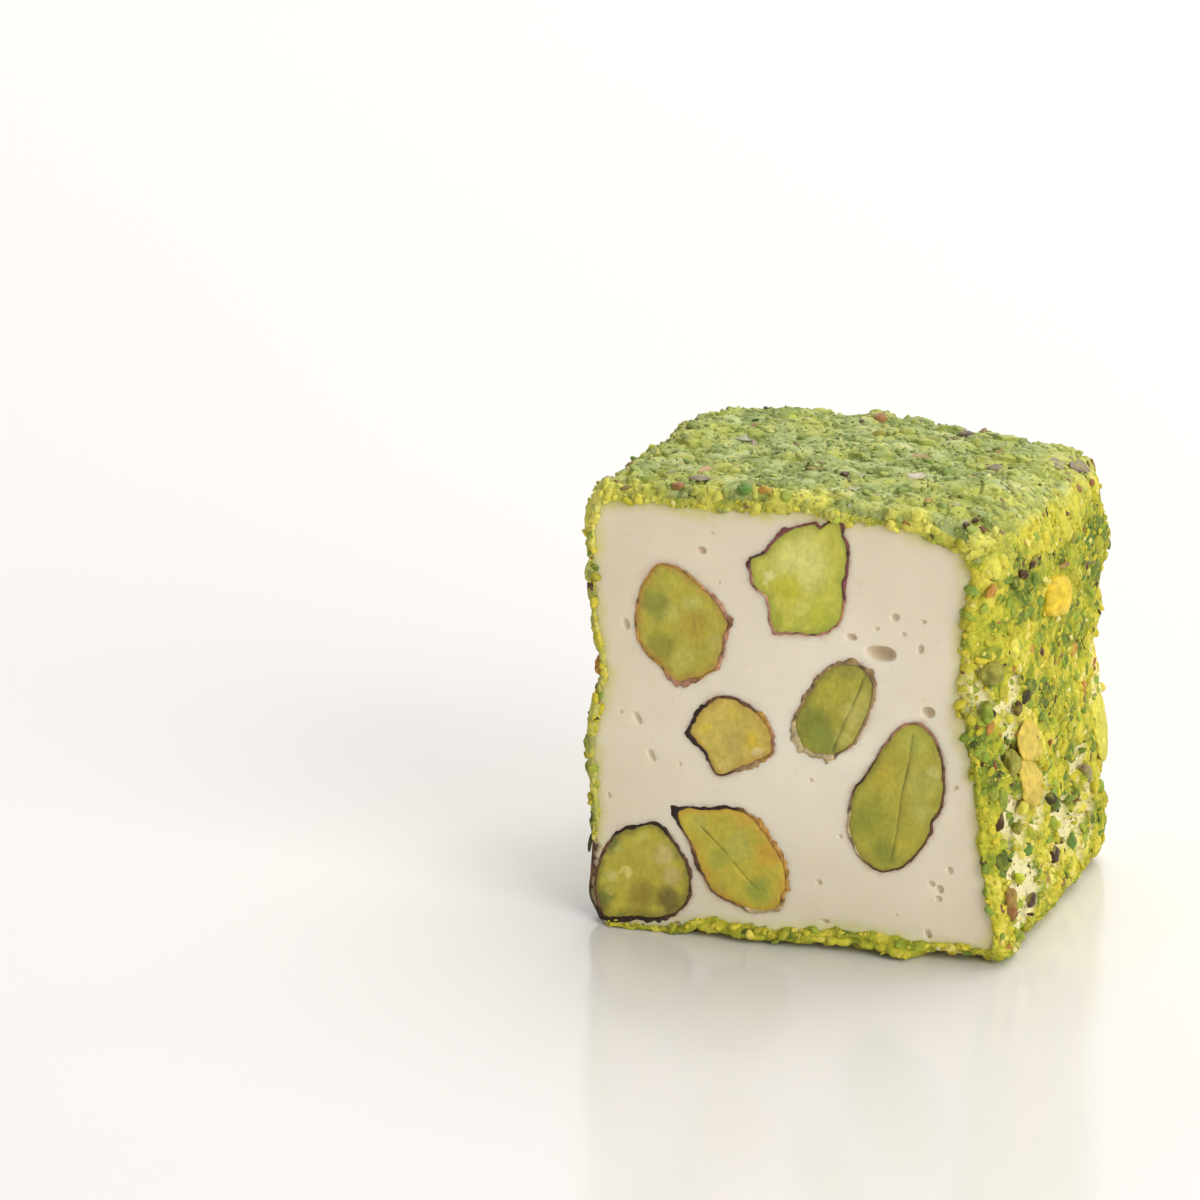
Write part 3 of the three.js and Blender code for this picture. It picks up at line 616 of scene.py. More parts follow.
def nougat_material():
    """Whipped nougat, cut with a knife: matt, milk-white and see-through to a millimetre or two."""
    material, tree, place = new_material("whipped_nougat")
    # paler where pale is high: partly a painted pool of light in the face's middle
    colour = stain(tree, "#E3D6BC", "pale", "#EFE5D0")
    flecks = mottle(tree, place, 0.7, 1.0, 0.68, 0.76, 0.0, 0.25)
    colour = stain(tree, colour, flecks, "#D8C49C")
    patchy = mottle(tree, place, 0.6, 3.0, 0.3, 0.7, 0.6, 1.2)
    for name, oil, most in (("green", "#D3CC72", 1.0), ("brown", "#CBA47E", 0.5)):
        amount = add(tree, "ShaderNodeAttribute", attribute_name=name)["Fac"]
        share = add(tree, "ShaderNodeMath", {0: amount, 1: patchy}, operation="MULTIPLY", use_clamp=True)[0]
        colour = stain(tree, colour, share, oil, most)
    folds = mottle(tree, place, 1.3, 4.0, 0.42, 0.62, stretch=(1, 1, 0.5))
    colour = stain(tree, colour, "husk", stain(tree, "#33251B", folds, "#7A5638"))
    # painted shade in the bubble pits
    colour = stain(tree, colour, "pit", "#B89C70", 0.75)
    knife_marks = grain(tree, place, 0.5, 3.0, (0.15, 1, 1))
    finish(tree, colour, roughness=0.55, gloss=0.3, see_through=(0.5, 1.2, (1.0, 0.75, 0.5)),
           relief=knife_marks, depth=0.05, strength=0.6)
    return material


def make_nougat():
    """The nougat: two cut faces with air bubbles and kernel pockets, and the long sides between."""
    steps = np.linspace(0.6, 2 * CUT - 0.6, 62)
    edge, rounding = np.array([0.0, 0.06, 0.2]), [1.0, 0.3, 0.0]
    ys = np.concatenate([edge, steps, 2 * CUT - edge[::-1]]) - CUT
    drop = EDGE_ROUND * np.array(rounding + [0.0] * len(steps) + rounding[::-1])
    sides = nougat_sides(ys, drop)[::NOUGAT_STEP]
    smear = 0.12 * uneven(sides, 2.4) + 0.06 * uneven(sides, 0.8)
    smear *= smooth_step(0.0, 1.0, CUT - np.abs(sides[..., 1]))
    husk = in_breakout(sides, SKIN_ROOM)
    bare = in_breakout(sides)
    bare[:, 0] = 0
    sides = drawn_back(sides + grid_normals(sides) * smear[..., None], bare)
    sides[:, 1:-1, 2] = np.maximum(sides[:, 1:-1, 2], NOUGAT_LOW)
    points, faces = [settled(sides).reshape(-1, 3)], [grid_faces(*sides.shape[:2])]
    plain = np.zeros(sides.size // 3)
    stains_and_shading = [{"pit": plain, "green": plain + 0.6, "brown": plain, "husk": husk.ravel(), "pale": plain}]
    for side, bubbles in ((-1, FRONT_BUBBLES), (1, BACK_BUBBLES)):
        spots, triangles, own = nougat_face(side, [bubble_shape(b) for b in bubbles])
        faces.append(triangles + sum(len(p) for p in points))
        points.append(spots)
        stains_and_shading.append(own)
    piece = new_piece("nougat", np.concatenate(points), nougat_material(), *faces)
    for name in stains_and_shading[0]:
        give(piece, name, np.concatenate([own[name] for own in stains_and_shading]))
    mend(piece, merge=True, turn=True)
    dress(piece, "nougat", "nougat_core")


# ---------------------------------------------------------------- coat of ground pistachio

COLUMNS = 245              # steps of the coat's outside along the bar
RIM_COLUMNS = 8            # steps of its cut rim
RIM_BULGE = 0.24           # how far the rim's crumbs stand out of the cut face
INNER_COLUMNS = 5
INNER_INSET = 1.5          # of the coat's hidden inside
BARE_DROP = 0.45           # how deep the smeared nougat lies where the coat is thin
SKIN_ROOM = 0.5            # how much farther to the left than that kernel's cut outline its skin shows
SINK = 0.75                # share of the way that the sides draw back where a kernel breaks out
SIDE_CRUMBS = (1.7, 1.0, 0.6)
TOP_CRUMBS = (1.9, 1.2, 0.75)


def in_breakout(points, room=0.0):
    """1 where a point lies in the kernel that breaks out of the block, or in some room to its left."""
    share, _ = polar(BROKEN_OUT, points[..., 0], points[..., 2])
    away = points[..., ::2] - BROKEN_OUT["middle"]
    turn = np.degrees(np.arctan2(away[..., 1], away[..., 0])) % 360
    share = share / (1 + room * smooth_step(58, 34, np.abs(turn - 196)))
    deep = np.maximum(points[..., 1] + CUT, 0) / BROKEN_OUT["depth"]
    wide = (np.abs(turn - 190) / 54) ** 4
    torn = (0.16 * uneven(points, 2.0) + 0.08 * uneven(points, 0.7)) * smooth_step(0.1, 0.4, deep)
    return smooth_step(1.14, 0.98, np.sqrt(share ** 2 + deep ** 2 + wide) + torn)


def drawn_back(points, bare):
    """The points with those in the breaking kernel drawn into its middle, where they are hidden."""
    u, z = BROKEN_OUT["middle"]
    heart = np.array([u + 1.0, BROKEN_OUT["depth"] / 2 - CUT, z])
    return mix(points, heart, SINK * bare[..., None])


def facing(points):
    """How much of a coat point belongs to the top, the right side and the left side."""
    y = points[0, :, 1]
    normal = on_sides(COAT, 1.0, y) - on_sides(COAT, 0.0, y)
    top = smooth_step(0.35, 0.85, normal[..., 2])
    right = smooth_step(0.2, 0.7, normal[..., 0])
    left = smooth_step(0.2, 0.7, -normal[..., 0])
    return top, right, left


# Where the right side's coat is thinnest: place along the bar, height and radius in millimetres.
THIN_PLACES = [
    (-13.8, 22.6, 2.4), (-10.6, 21.0, 3.0), (-10.0, 18.2, 2.8), (-11.6, 10.0, 3.6), (-9.0, 4.5, 3.6),
    (1.4, 6.2, 3.6), (7.6, 5.0, 3.2), (-4.8, 32.6, 1.2), (-13.4, 6.6, 1.8), (-4.6, 11.0, 2.8),
    (6.6, 11.0, 2.4),
]

# Where the right side is greener or lighter than elsewhere: the same, and a shift of tone.
TONED_PLACES = [
    (10.5, 27.0, 5.5, -0.3), (12.5, 31.0, 3.0, -0.05), (2.0, 22.4, 2.6, -0.35), (-3.7, 18.6, 2.6, -0.35),
    (2.0, 13.6, 3.2, -0.3), (-11.6, 15.2, 2.6, -0.4), (-12.6, 8.4, 1.7, -0.45), (5.0, 9.8, 2.6, -0.35),
    (12.0, 3.0, 3.0, -0.2), (-9.6, 30.2, 2.0, -0.4), (-6.0, 28.6, 1.8, -0.25), (7.0, 21.0, 2.4, -0.25),
    (-13.8, 18.6, 1.6, -0.35), (-9.0, 25.2, 1.8, 0.35), (-13.6, 28.0, 3.0, 0.0), (13.4, 17.5, 4.6, 0.5),
    (-4.0, 23.0, 2.0, 0.15), (-2.0, 31.0, 2.2, -0.1), (6.0, 31.5, 2.4, -0.15), (-11.6, 32.6, 2.0, -0.3),
    (1.6, 29.4, 2.0, -0.3), (8.6, 7.0, 2.6, 0.2),
]


def zones(points, right):
    """The drift of tone from place to place, from about -0.5 (deep green) to 0.5 (light yellow)."""
    drift = 0.2 * uneven(points, 3.0, 6.1) + 0.12 * uneven(points, 1.4, 2.9)
    for y, z, radius, shift in TONED_PLACES:
        gap = np.hypot(points[..., 1] - y, points[..., 2] - z) / radius
        gap += 0.3 * uneven(points, 0.8 * radius, y)
        drift = drift + shift * right * smooth_step(1.25, 0.45, gap)
    return drift


def coverage(points, right, left):
    """1 where the coat is whole and 0 where bare nougat looks through."""
    patches = 0.5 * uneven(points, 2.4, 7.3) + 0.45 * uneven(points, 0.9, 2.1) + 0.35 * uneven(points, 0.42)
    thin = np.zeros(points.shape[:-1])
    for y, z, radius in THIN_PLACES:
        gap = np.hypot(points[..., 1] - y, points[..., 2] - z) / radius
        thin = np.maximum(thin, smooth_step(1.5, 0.4, gap))
    edge = smooth_step(-12.4, -13.8, points[..., 1]) * smooth_step(18, 14, points[..., 2])
    bareness = right * (0.45 * smooth_step(25, 13, points[..., 2]) + 0.8 * thin) * (1 - 0.75 * edge)
    bareness = bareness + 0.3 * left
    limit = mix(-1.3, 0.24, np.clip(bareness, 0, 1))
    return smooth_step(limit - 0.14, limit + 0.2, patches)


def near_lips(points):
    """1 along the front, left and right edges of the top, where the coat is bright, and 0 farther in."""
    x, y, z = np.moveaxis(points, -1, 0)
    front = smooth_step(-11.8, -14.2, y)
    sides = np.maximum(smooth_step(-11, -15.8, x), smooth_step(11.5, 15.5, x))
    ragged = np.clip(0.45 + 0.9 * uneven(points, 2.2, 3.3) + 0.8 * uneven(points, 0.8, 1.3), 0, 1)
    return np.maximum(front, 0.4 * sides) * smooth_step(29, 33, z) * ragged


def coat_grid():
    """The coat's closed surface before its crumbs: out along the bar, round each rim and back inside."""
    outer_y = np.linspace(-CUT, CUT, COLUMNS)
    drop = np.zeros((AROUND, COLUMNS))
    targets = []
    for side in (1, -1):
        end = np.array([side * CUT])
        outside, white = on_sides(COAT, 0.0, end), nougat_sides(end, EDGE_ROUND)
        width = np.linalg.norm(white - outside, axis=-1, keepdims=True)
        reach_in = 0.06 + 0.24 * uneven(white, 1.1, side) + 0.14 * uneven(white, 0.45, side)
        targets.append(white + (white - outside) / width * reach_in[..., None])
        rounding = np.clip(0.6 * width[..., 0], 0.05, 0.7)
        near = np.clip(1 - (CUT - side * outer_y) / rounding, 0, 1)
        drop = np.maximum(drop, rounding * (1 - np.sqrt(1 - near ** 2)))
    outer = on_sides(COAT, -drop, outer_y)
    share = np.linspace(0, 1, RIM_COLUMNS + 1)[1:, None]
    bulge = RIM_BULGE * np.sin(math.pi * (0.25 + 0.75 * share)) - 0.3 * (share == 1)
    front = mix(outer[:, :1], targets[1], share) + bulge * [0, -1, 0]
    back = mix(outer[:, -1:], targets[0], share) + bulge * [0, 1, 0]
    inner = on_sides(COAT, -INNER_INSET, np.linspace(CUT - OFF_THE_CUT, OFF_THE_CUT - CUT, INNER_COLUMNS))
    return np.concatenate([outer, back, inner, front[:, ::-1]], 1)


def packed(points, sizes):
    """Crumbs of several sizes, each lying as it fell: height, own number and how deep in the creases, painted
    as shade.
    """
    height = np.full(points.shape[:-1], -9.0)
    own = np.zeros_like(height)
    crease = np.zeros_like(height)
    for size in sizes:
        bent = np.stack([uneven(points, 1.2 * size, shift) for shift in (1.0, 5.0, 9.0)], -1)
        dome, edge, number = crumbled(points + 0.28 * size * bent, size, 3.7 * size)
        lie = size * (0.42 * dome + 0.34 * number - 0.36)
        higher = lie > height
        pairs = ((lie, height), (number, own), (edge, crease))
        height, own, crease = (np.where(higher, new, old) for new, old in pairs)
    return height, own * 7.31 % 1, crease


def make_coat():
    """The coat in four pieces, one to a side, and the ground on which loose crumbs lie."""
    base = coat_grid()
    columns = base.shape[1]
    hidden = slice(COLUMNS + RIM_COLUMNS, COLUMNS + RIM_COLUMNS + INNER_COLUMNS)
    shown = np.ones(columns)
    shown[hidden] = 0
    rim = np.zeros(columns)
    rim[COLUMNS:COLUMNS + RIM_COLUMNS] = rim[-RIM_COLUMNS:] = 1
    normals = grid_normals(np.concatenate([base[:, -1:], base, base[:, :1]], 1))[:, 1:-1]
    top, right, left = facing(base)
    cover = coverage(base, right, left)
    cover = np.maximum(cover, rim * (1 - 0.35 * right))
    loose, loose_own, loose_crease_shade = packed(base, SIDE_CRUMBS)
    rolled, rolled_own, rolled_crease_shade = packed(base, TOP_CRUMBS)
    height = mix(0.85 * loose, rolled, top) + 0.045 * uneven(base, 0.33) + 0.12 * uneven(base, 5.0)
    smeared = 0.1 * uneven(base, 1.4) + 0.04 * uneven(base, 0.5) - BARE_DROP
    height = np.where(rim > 0, 0.6 * loose * cover, mix(smeared, height, cover))
    ys = base[0, :COLUMNS, 1]
    room = ((base[:, :COLUMNS] - nougat_sides(ys)) * normals[:, :COLUMNS]).sum(-1)
    from_cut = CUT - np.abs(ys)
    least = 0.06 + 0.17 * smooth_step(0.0, 1.0, from_cut) - room
    least = np.where(from_cut < CUT_BLEND + 0.3, least, -9.0)
    height[:, :COLUMNS] = np.maximum(height[:, :COLUMNS], least)
    bare = in_breakout(base, SKIN_ROOM)
    height *= shown
    points = settled(drawn_back(base + normals * height[..., None], bare))
    points[..., 2] = np.maximum(points[..., 2], COAT_LOW)
    lip = near_lips(base)
    # top: where the coat takes its painted sheen, less on its rims and lips
    values = {
        "top": top * (1 - 0.7 * rim) * (1 - 0.8 * lip), "lip": lip, "thin": 1 - cover, "left": left,
        "tone": np.where(top > 0.5, rolled_own, loose_own), "drift": zones(base, right),
        # crease: painted shade in the creases between crumbs
        "crease": mix(0.6 * loose_crease_shade, rolled_crease_shade, top),
    }
    material = coat_material()
    quarter = 2 * HALF
    for number, name in enumerate(("right", "top", "left", "under")):
        rows = np.arange(number * quarter, (number + 1) * quarter + 1) % AROUND
        quads = grid_faces(len(rows), columns, False, True)[:, ::-1]
        piece = new_piece(f"ground_pistachio_{name}", points[rows], material, quads)
        for title, value in values.items():
            give(piece, title, value[rows].ravel())
        mend(piece, close=True)
        dress(piece, "ground_pistachio", "pistachio_coat")
    level = np.maximum(height, -UNDER_COAT + 0.05)
    lie = settled(base + normals * level[..., None])
    lie[..., 2] = np.maximum(lie[..., 2], CRUMBS_LOW)
    kept = np.r_[np.arange(columns - RIM_COLUMNS, columns), np.arange(COLUMNS + RIM_COLUMNS - 2)]
    fields = {"top": top, "right": right, "left": left, "cover": cover, "bare": bare,
              "rim": np.broadcast_to(rim, top.shape)}
    ground = {name: value[:, kept] for name, value in fields.items()}
    return ground | {"points": lie[:, kept]}


COAT_SIDES = [
    (0.0, "#66762A"), (0.16, "#8A962C"), (0.36, "#ADAF32"), (0.6, "#CAC23A"),
    (0.82, "#DFD254"), (1.0, "#EAE092"),
]
# The coat's colours on top: the same ground nut as on the sides, greyer and bluer, a painted sheen of grazing
# light.
COAT_SHEENED_TOP = [
    (0.0, "#66722E"), (0.25, "#8A9850"), (0.5, "#A2AE6C"), (0.78, "#B6BE80"),
    (0.92, "#C2C268"), (1.0, "#CCC994"),
]
LIP_COLOUR = "#E4DC62"


def coat_material():
    """Ground pistachio pressed on: matt and dusty, each crumb of its own green, a little see-through, with a
    painted sheen on top.
    """
    material, tree, place = new_material("ground_pistachio")
    tone, drift = (add(tree, "ShaderNodeAttribute", attribute_name=name)["Fac"] for name in ("tone", "drift"))
    patches = mottle(tree, place, 1.6, 4.0, 0.28, 0.72, -0.1, 0.55)
    drift = add(tree, "ShaderNodeMath", {0: patches, 1: drift}, operation="ADD")[0]
    own = add(tree, "ShaderNodeMath", {
        0: tone, 1: 0.5, 2: drift}, operation="MULTIPLY_ADD", use_clamp=True)[0]
    sides, top = (add(tree, "ShaderNodeValToRGB", {0: own}, stops)[0] for stops in (COAT_SIDES, COAT_SHEENED_TOP))
    top = stain(tree, top, mottle(tree, place, 4.5, 3.0, 0.48, 0.62, 0.0, 0.75), "#B8B846")
    # on top the painted sheen takes over from the sides' colours
    colour = stain(tree, sides, "top", top)
    colour = stain(tree, colour, "left", "#D6CF86", 0.4)
    colour = stain(tree, colour, "lip", LIP_COLOUR, 0.75)
    # painted shade darkens the creases between crumbs
    colour = stain(tree, colour, "crease", "#5F6A1C", 0.45, 0.3, 1.0)
    colour = stain(tree, colour, "thin", "#ECE2AC", 1.0, 0.1, 0.75)
    colour = speckled(tree, place, colour, 0.3, 2.0, 0.82, 1.12)
    finish(tree, colour, roughness=0.7, gloss=0.25, see_through=(0.2, 0.5, (1.0, 1.0, 0.3)),
           relief=grain(tree, place, 0.16, 3.0), depth=0.06)
    return material


# ---------------------------------------------------------------- loose crumbs

def crumb_tree():
    """Strews crumbs over the ground where their kind's field says, each of its own size and shape."""
    tree = bpy.data.node_groups.new("strewn_crumbs", "GeometryNodeTree")
    sockets = {}
    for name, kind in (
        ("Ground", "Geometry"), ("Field", "String"), ("Per Square Metre", "Float"), ("Seed", "Int"),
        ("Smallest", "Float"), ("Largest", "Float"), ("Length", "Float"), ("Flatness", "Float"),
        ("Lift", "Float"), ("Roughness", "Float"), ("Detail", "Int"), ("Material", "Material"),
    ):
        made = tree.interface.new_socket(name, in_out="INPUT", socket_type="NodeSocket" + kind)
        sockets[name] = made.identifier
    tree.interface.new_socket("Crumbs", in_out="OUTPUT", socket_type="NodeSocketGeometry")
    given = add(tree, "NodeGroupInput")

    def draw(low, high, salt):
        """A number drawn for each crumb, from the group's seed and a salt."""
        seed = add(tree, "FunctionNodeHashValue", {"Value": given["Seed"], "Seed": salt}, data_type="INT")[0]
        return add(tree, "FunctionNodeRandomValue", {2: low, 3: high, "Seed": seed}, data_type="FLOAT")[1]

    field = add(tree, "GeometryNodeInputNamedAttribute", {"Name": given["Field"]}, data_type="FLOAT")[0]
    density = add(tree, "ShaderNodeMath", {0: field, 1: given["Per Square Metre"]}, operation="MULTIPLY")[0]
    strewn = add(tree, "GeometryNodeDistributePointsOnFaces", {
        "Mesh": given["Ground"], "Density": density, "Seed": given["Seed"]})
    share = draw(0.0, 1.0, 1)
    mostly_small = add(tree, "ShaderNodeMath", {0: share, 1: share}, operation="MULTIPLY")[0]
    size = add(tree, "ShaderNodeMapRange", {
        "Value": mostly_small, "To Min": given["Smallest"], "To Max": given["Largest"]})[0]
    shape = add(tree, "ShaderNodeCombineXYZ", {
        0: given["Length"], 1: draw(0.7, 1.0, 2), 2: given["Flatness"]})[0]
    scale = add(tree, "ShaderNodeVectorMath", {0: shape, 3: size}, operation="SCALE")[0]
    tilt = add(tree, "ShaderNodeCombineXYZ", {
        0: draw(-0.5, 0.5, 3), 1: draw(-0.5, 0.5, 4), 2: draw(0.0, math.tau, 5)})[0]
    turn = add(tree, "FunctionNodeEulerToRotation", {0: tilt})[0]
    lie = add(tree, "FunctionNodeRotateRotation", {0: strewn["Rotation"], 1: turn}, rotation_space="LOCAL")[0]
    lift = add(tree, "ShaderNodeMath", {0: size, 1: given["Lift"]}, operation="MULTIPLY")[0]
    shift = add(tree, "ShaderNodeVectorMath", {0: strewn["Normal"], 3: lift}, operation="SCALE")[0]
    placed = add(tree, "GeometryNodeSetPosition", {"Geometry": strewn["Points"], "Offset": shift})[0]
    crumb = add(tree, "GeometryNodeMeshIcoSphere", {"Radius": 1.0, "Subdivisions": given["Detail"]})["Mesh"]
    crumbs = add(tree, "GeometryNodeInstanceOnPoints", {
        "Points": placed, "Instance": crumb, "Rotation": lie, "Scale": scale})[0]
    own = draw(0.0, 1.0, 6)
    numbered = add(tree, "GeometryNodeStoreNamedAttribute", {
        "Geometry": crumbs, "Name": "own", "Value": own}, data_type="FLOAT", domain="INSTANCE")[0]
    real = add(tree, "GeometryNodeRealizeInstances", {0: numbered})[0]
    spot = add(tree, "GeometryNodeInputPosition")[0]
    rough = add(tree, "ShaderNodeTexNoise", {"Vector": spot, "Scale": CRUMB_LUMPS / MM, "Detail": 1.0})[1]
    centred = add(tree, "ShaderNodeVectorMath", {0: rough, 1: (0.5, 0.5, 0.5)}, operation="SUBTRACT")[0]
    jog = add(tree, "ShaderNodeVectorMath", {0: centred, 3: given["Roughness"]}, operation="SCALE")[0]
    broken = add(tree, "GeometryNodeSetPosition", {"Geometry": real, "Offset": jog})[0]
    soft = add(tree, "GeometryNodeSetShadeSmooth", {0: broken})[0]
    coloured = add(tree, "GeometryNodeSetMaterial", {0: soft, "Material": given["Material"]})[0]
    add(tree, "NodeGroupOutput", {0: coloured})
    return tree, sockets


def crumb_material(name, side_stops, sheened_top_stops, brighter):
    """Ground nut: each crumb has a tone of its own, greyer and duller on top of the block from a painted
    sheen, brighter at its lips.
    """
    material, tree, place = new_material(name)
    own, drift = (add(tree, "ShaderNodeAttribute", attribute_name=name)["Fac"] for name in ("own", "drift"))
    tone = add(tree, "ShaderNodeMath", {0: own, 1: drift}, operation="ADD")[0]
    sides, top = (add(tree, "ShaderNodeValToRGB", {0: tone}, stops)[0] for stops in (side_stops, sheened_top_stops))
    # on top the crumbs take their painted sheen
    colour = stain(tree, sides, "top", top)
    colour = stain(tree, colour, "lip", LIP_COLOUR, brighter)
    colour = speckled(tree, place, colour, 0.35, 2.0, 0.8, 1.12)
    finish(tree, colour, roughness=0.6, gloss=0.3, see_through=(0.2, 0.4, (1.0, 1.0, 0.3)))
    return material


# Crumb colours; the _SHEENED ones, for crumbs on top, are greyer and paler: a painted sheen.
LIME = [(0.0, "#A4A02E"), (0.4, "#C2B832"), (0.85, "#D6C63C"), (1.0, "#E4D56C")]
LIME_SHEENED = [(0.0, "#869048"), (0.5, "#A4AC58"), (0.9, "#B8BA5C"), (1.0, "#D0CC80")]
MOSS_SHEENED = [(0.0, "#626E2E"), (0.3, "#88944A"), (0.65, "#A4AE60"), (0.95, "#B8BE6C"), (1.0, "#CAC880")]
GREEN = [(0.0, "#6E8430"), (0.35, "#8C9E34"), (0.75, "#ACB63C"), (1.0, "#8EA646")]
GREEN_SHEENED = [(0.0, "#6A8440"), (0.5, "#8A9E4C"), (1.0, "#A2B05E")]
DARK = [(0.0, "#3C2C1A"), (0.4, "#454A20"), (0.7, "#5C682A"), (1.0, "#465628")]
FLAKE = [(0.0, "#523428"), (0.35, "#744A34"), (0.6, "#96633A"), (0.85, "#BE803C"), (1.0, "#8E7E66")]
FLAKE_SHEENED = [(0.0, "#665846"), (0.35, "#8A7C60"), (0.6, "#947A52"), (0.85, "#B0AA94"), (1.0, "#7C6044")]
PALE = [(0.0, "#E2D873"), (0.5, "#E8DFA6"), (1.0, "#DFC44A")]

# Each kind: name, colours on the sides and on top (those on top a painted sheen), how much brighter at the
# lips, how many to the square millimetre, smallest and largest size, length, flatness, lift, roughness and
# detail.
CRUMBS = [
    ("lime_crumbs", LIME, LIME_SHEENED, 0.7, 3.4, 0.09, 0.26, 1.3, 0.7, 0.3, 0.3, 1),
    ("top_grains", LIME_SHEENED, MOSS_SHEENED, 0.7, 2.4, 0.12, 0.36, 1.3, 0.6, 0.25, 0.4, 1),
    ("coarse_crumbs", LIME, LIME_SHEENED, 0.7, 0.8, 0.2, 0.54, 1.2, 0.55, 0.05, 0.55, 2),
    ("green_crumbs", GREEN, GREEN_SHEENED, 0.15, 0.5, 0.14, 0.56, 1.2, 0.5, 0.05, 0.55, 2),
    ("dark_crumbs", DARK, DARK, 0.15, 0.2, 0.1, 0.34, 1.5, 0.5, 0.1, 0.5, 2),
    ("skin_flakes", FLAKE, FLAKE_SHEENED, 0.15, 0.3, 0.1, 0.46, 1.5, 0.3, 0.25, 0.4, 2),
    ("pale_crumbs", PALE, PALE, 0.15, 0.08, 0.18, 0.4, 1.2, 0.6, 0.15, 0.5, 2),
]
CRUMB_LUMPS = 1.9          # lumps to the millimetre of a crumb


def crumb_fields(ground):
    """Where each kind of crumb lies, from 0 to 1, and what its colour goes by."""
    points, rim, top, cover = (ground[name] for name in ("points", "rim", "top", "cover"))
    drift, lip = zones(points, ground["right"]), near_lips(points)
    patch = 0.5 * uneven(points, 1.3, 2.4) - 1.6 * drift
    y, z = points[..., 1], points[..., 2]
    calm = 1 - 0.35 * ground["right"] * smooth_step(22, 26, z) * smooth_step(-10, -6, y)
    sides = np.maximum(ground["right"], ground["left"])
    fields = {
        "lime_crumbs": (0.15 + 0.6 * sides + 0.15 * top + 0.9 * rim) * (0.25 + 0.75 * cover),
        "coarse_crumbs": (0.1 + 0.5 * sides + 0.5 * top * lip + 0.8 * rim) * (0.2 + 0.8 * cover),
        "top_grains": 0.75 * top + 0.1 * rim,
        "green_crumbs": (0.12 + 0.2 * sides + 0.4 * rim + 1.2 * np.clip(patch, 0, 1) * sides) * calm,
        "dark_crumbs": (0.06 + 0.14 * sides + 0.5 * np.clip(patch - 0.2, 0, 1) * sides + 0.08 * rim) * calm,
        "skin_flakes": 0.22 + 0.25 * sides + 0.2 * top,
        "pale_crumbs": (0.1 + 0.5 * sides + 0.2 * rim) * (1 - 0.8 * top),
    }
    covered = np.clip(1 - 1.6 * ground["bare"], 0, 1)
    fields = {name: np.clip(value, 0, 1) * covered for name, value in fields.items()}
    # top: where the crumbs take their painted sheen
    return fields | {"top": top * (1 - rim) * (1 - 0.8 * lip), "lip": lip, "drift": drift * sides}


def strew_crumbs(ground):
    """One piece for each kind of crumb."""
    rows, columns = ground["points"].shape[:2]
    bed = new_piece("bed", ground["points"], None, grid_faces(rows, columns))
    for name, values in crumb_fields(ground).items():
        give(bed, name, values.ravel())
    tree, sockets = crumb_tree()
    for seed, (name, sides, top, brighter, count, *form) in enumerate(CRUMBS, 1):
        least, most, length, flatness, lift, roughness, detail = form
        piece = bpy.data.objects.new(name, bed.data)
        bpy.context.scene.collection.objects.link(piece)
        grower = piece.modifiers.new("strewn", "NODES")
        grower.node_group = tree
        for key, value in {
            "Field": name, "Per Square Metre": count / MM ** 2, "Seed": seed, "Smallest": least * MM,
            "Largest": most * MM, "Length": length, "Flatness": flatness, "Lift": lift,
            "Roughness": roughness * MM, "Detail": detail,
            "Material": crumb_material(name, sides, top, brighter),
        }.items():
            grower[sockets[key]] = value
        graph = bpy.context.evaluated_depsgraph_get()
        grown = bpy.data.meshes.new_from_object(
            piece.evaluated_get(graph), preserve_all_data_layers=True, depsgraph=graph)
        piece.modifiers.clear()
        piece.data = grown
        grown.name = name
        dress(piece, "ground_pistachio")
    bpy.data.objects.remove(bed)


# ---------------------------------------------------------------- larger bits pressed into the coat

BIT_COLOURS = {
    "gold": "#EDCB3E", "slice": "#DABE56", "lemon": "#DCD356", "lime": "#BAC43E", "green": "#8C9E36",
    "deep": "#5E6E2A", "teal": "#688A3C", "olive": "#94903E", "black": "#45402A", "dark": "#543C24",
    "maroon": "#6A4028", "brown": "#9A6C3E", "orange": "#C48E44", "purple": "#544036", "mauve": "#8C7C62",
    "grey": "#A8A488", "white": "#C8BCA2", "pink": "#C09A72",
}

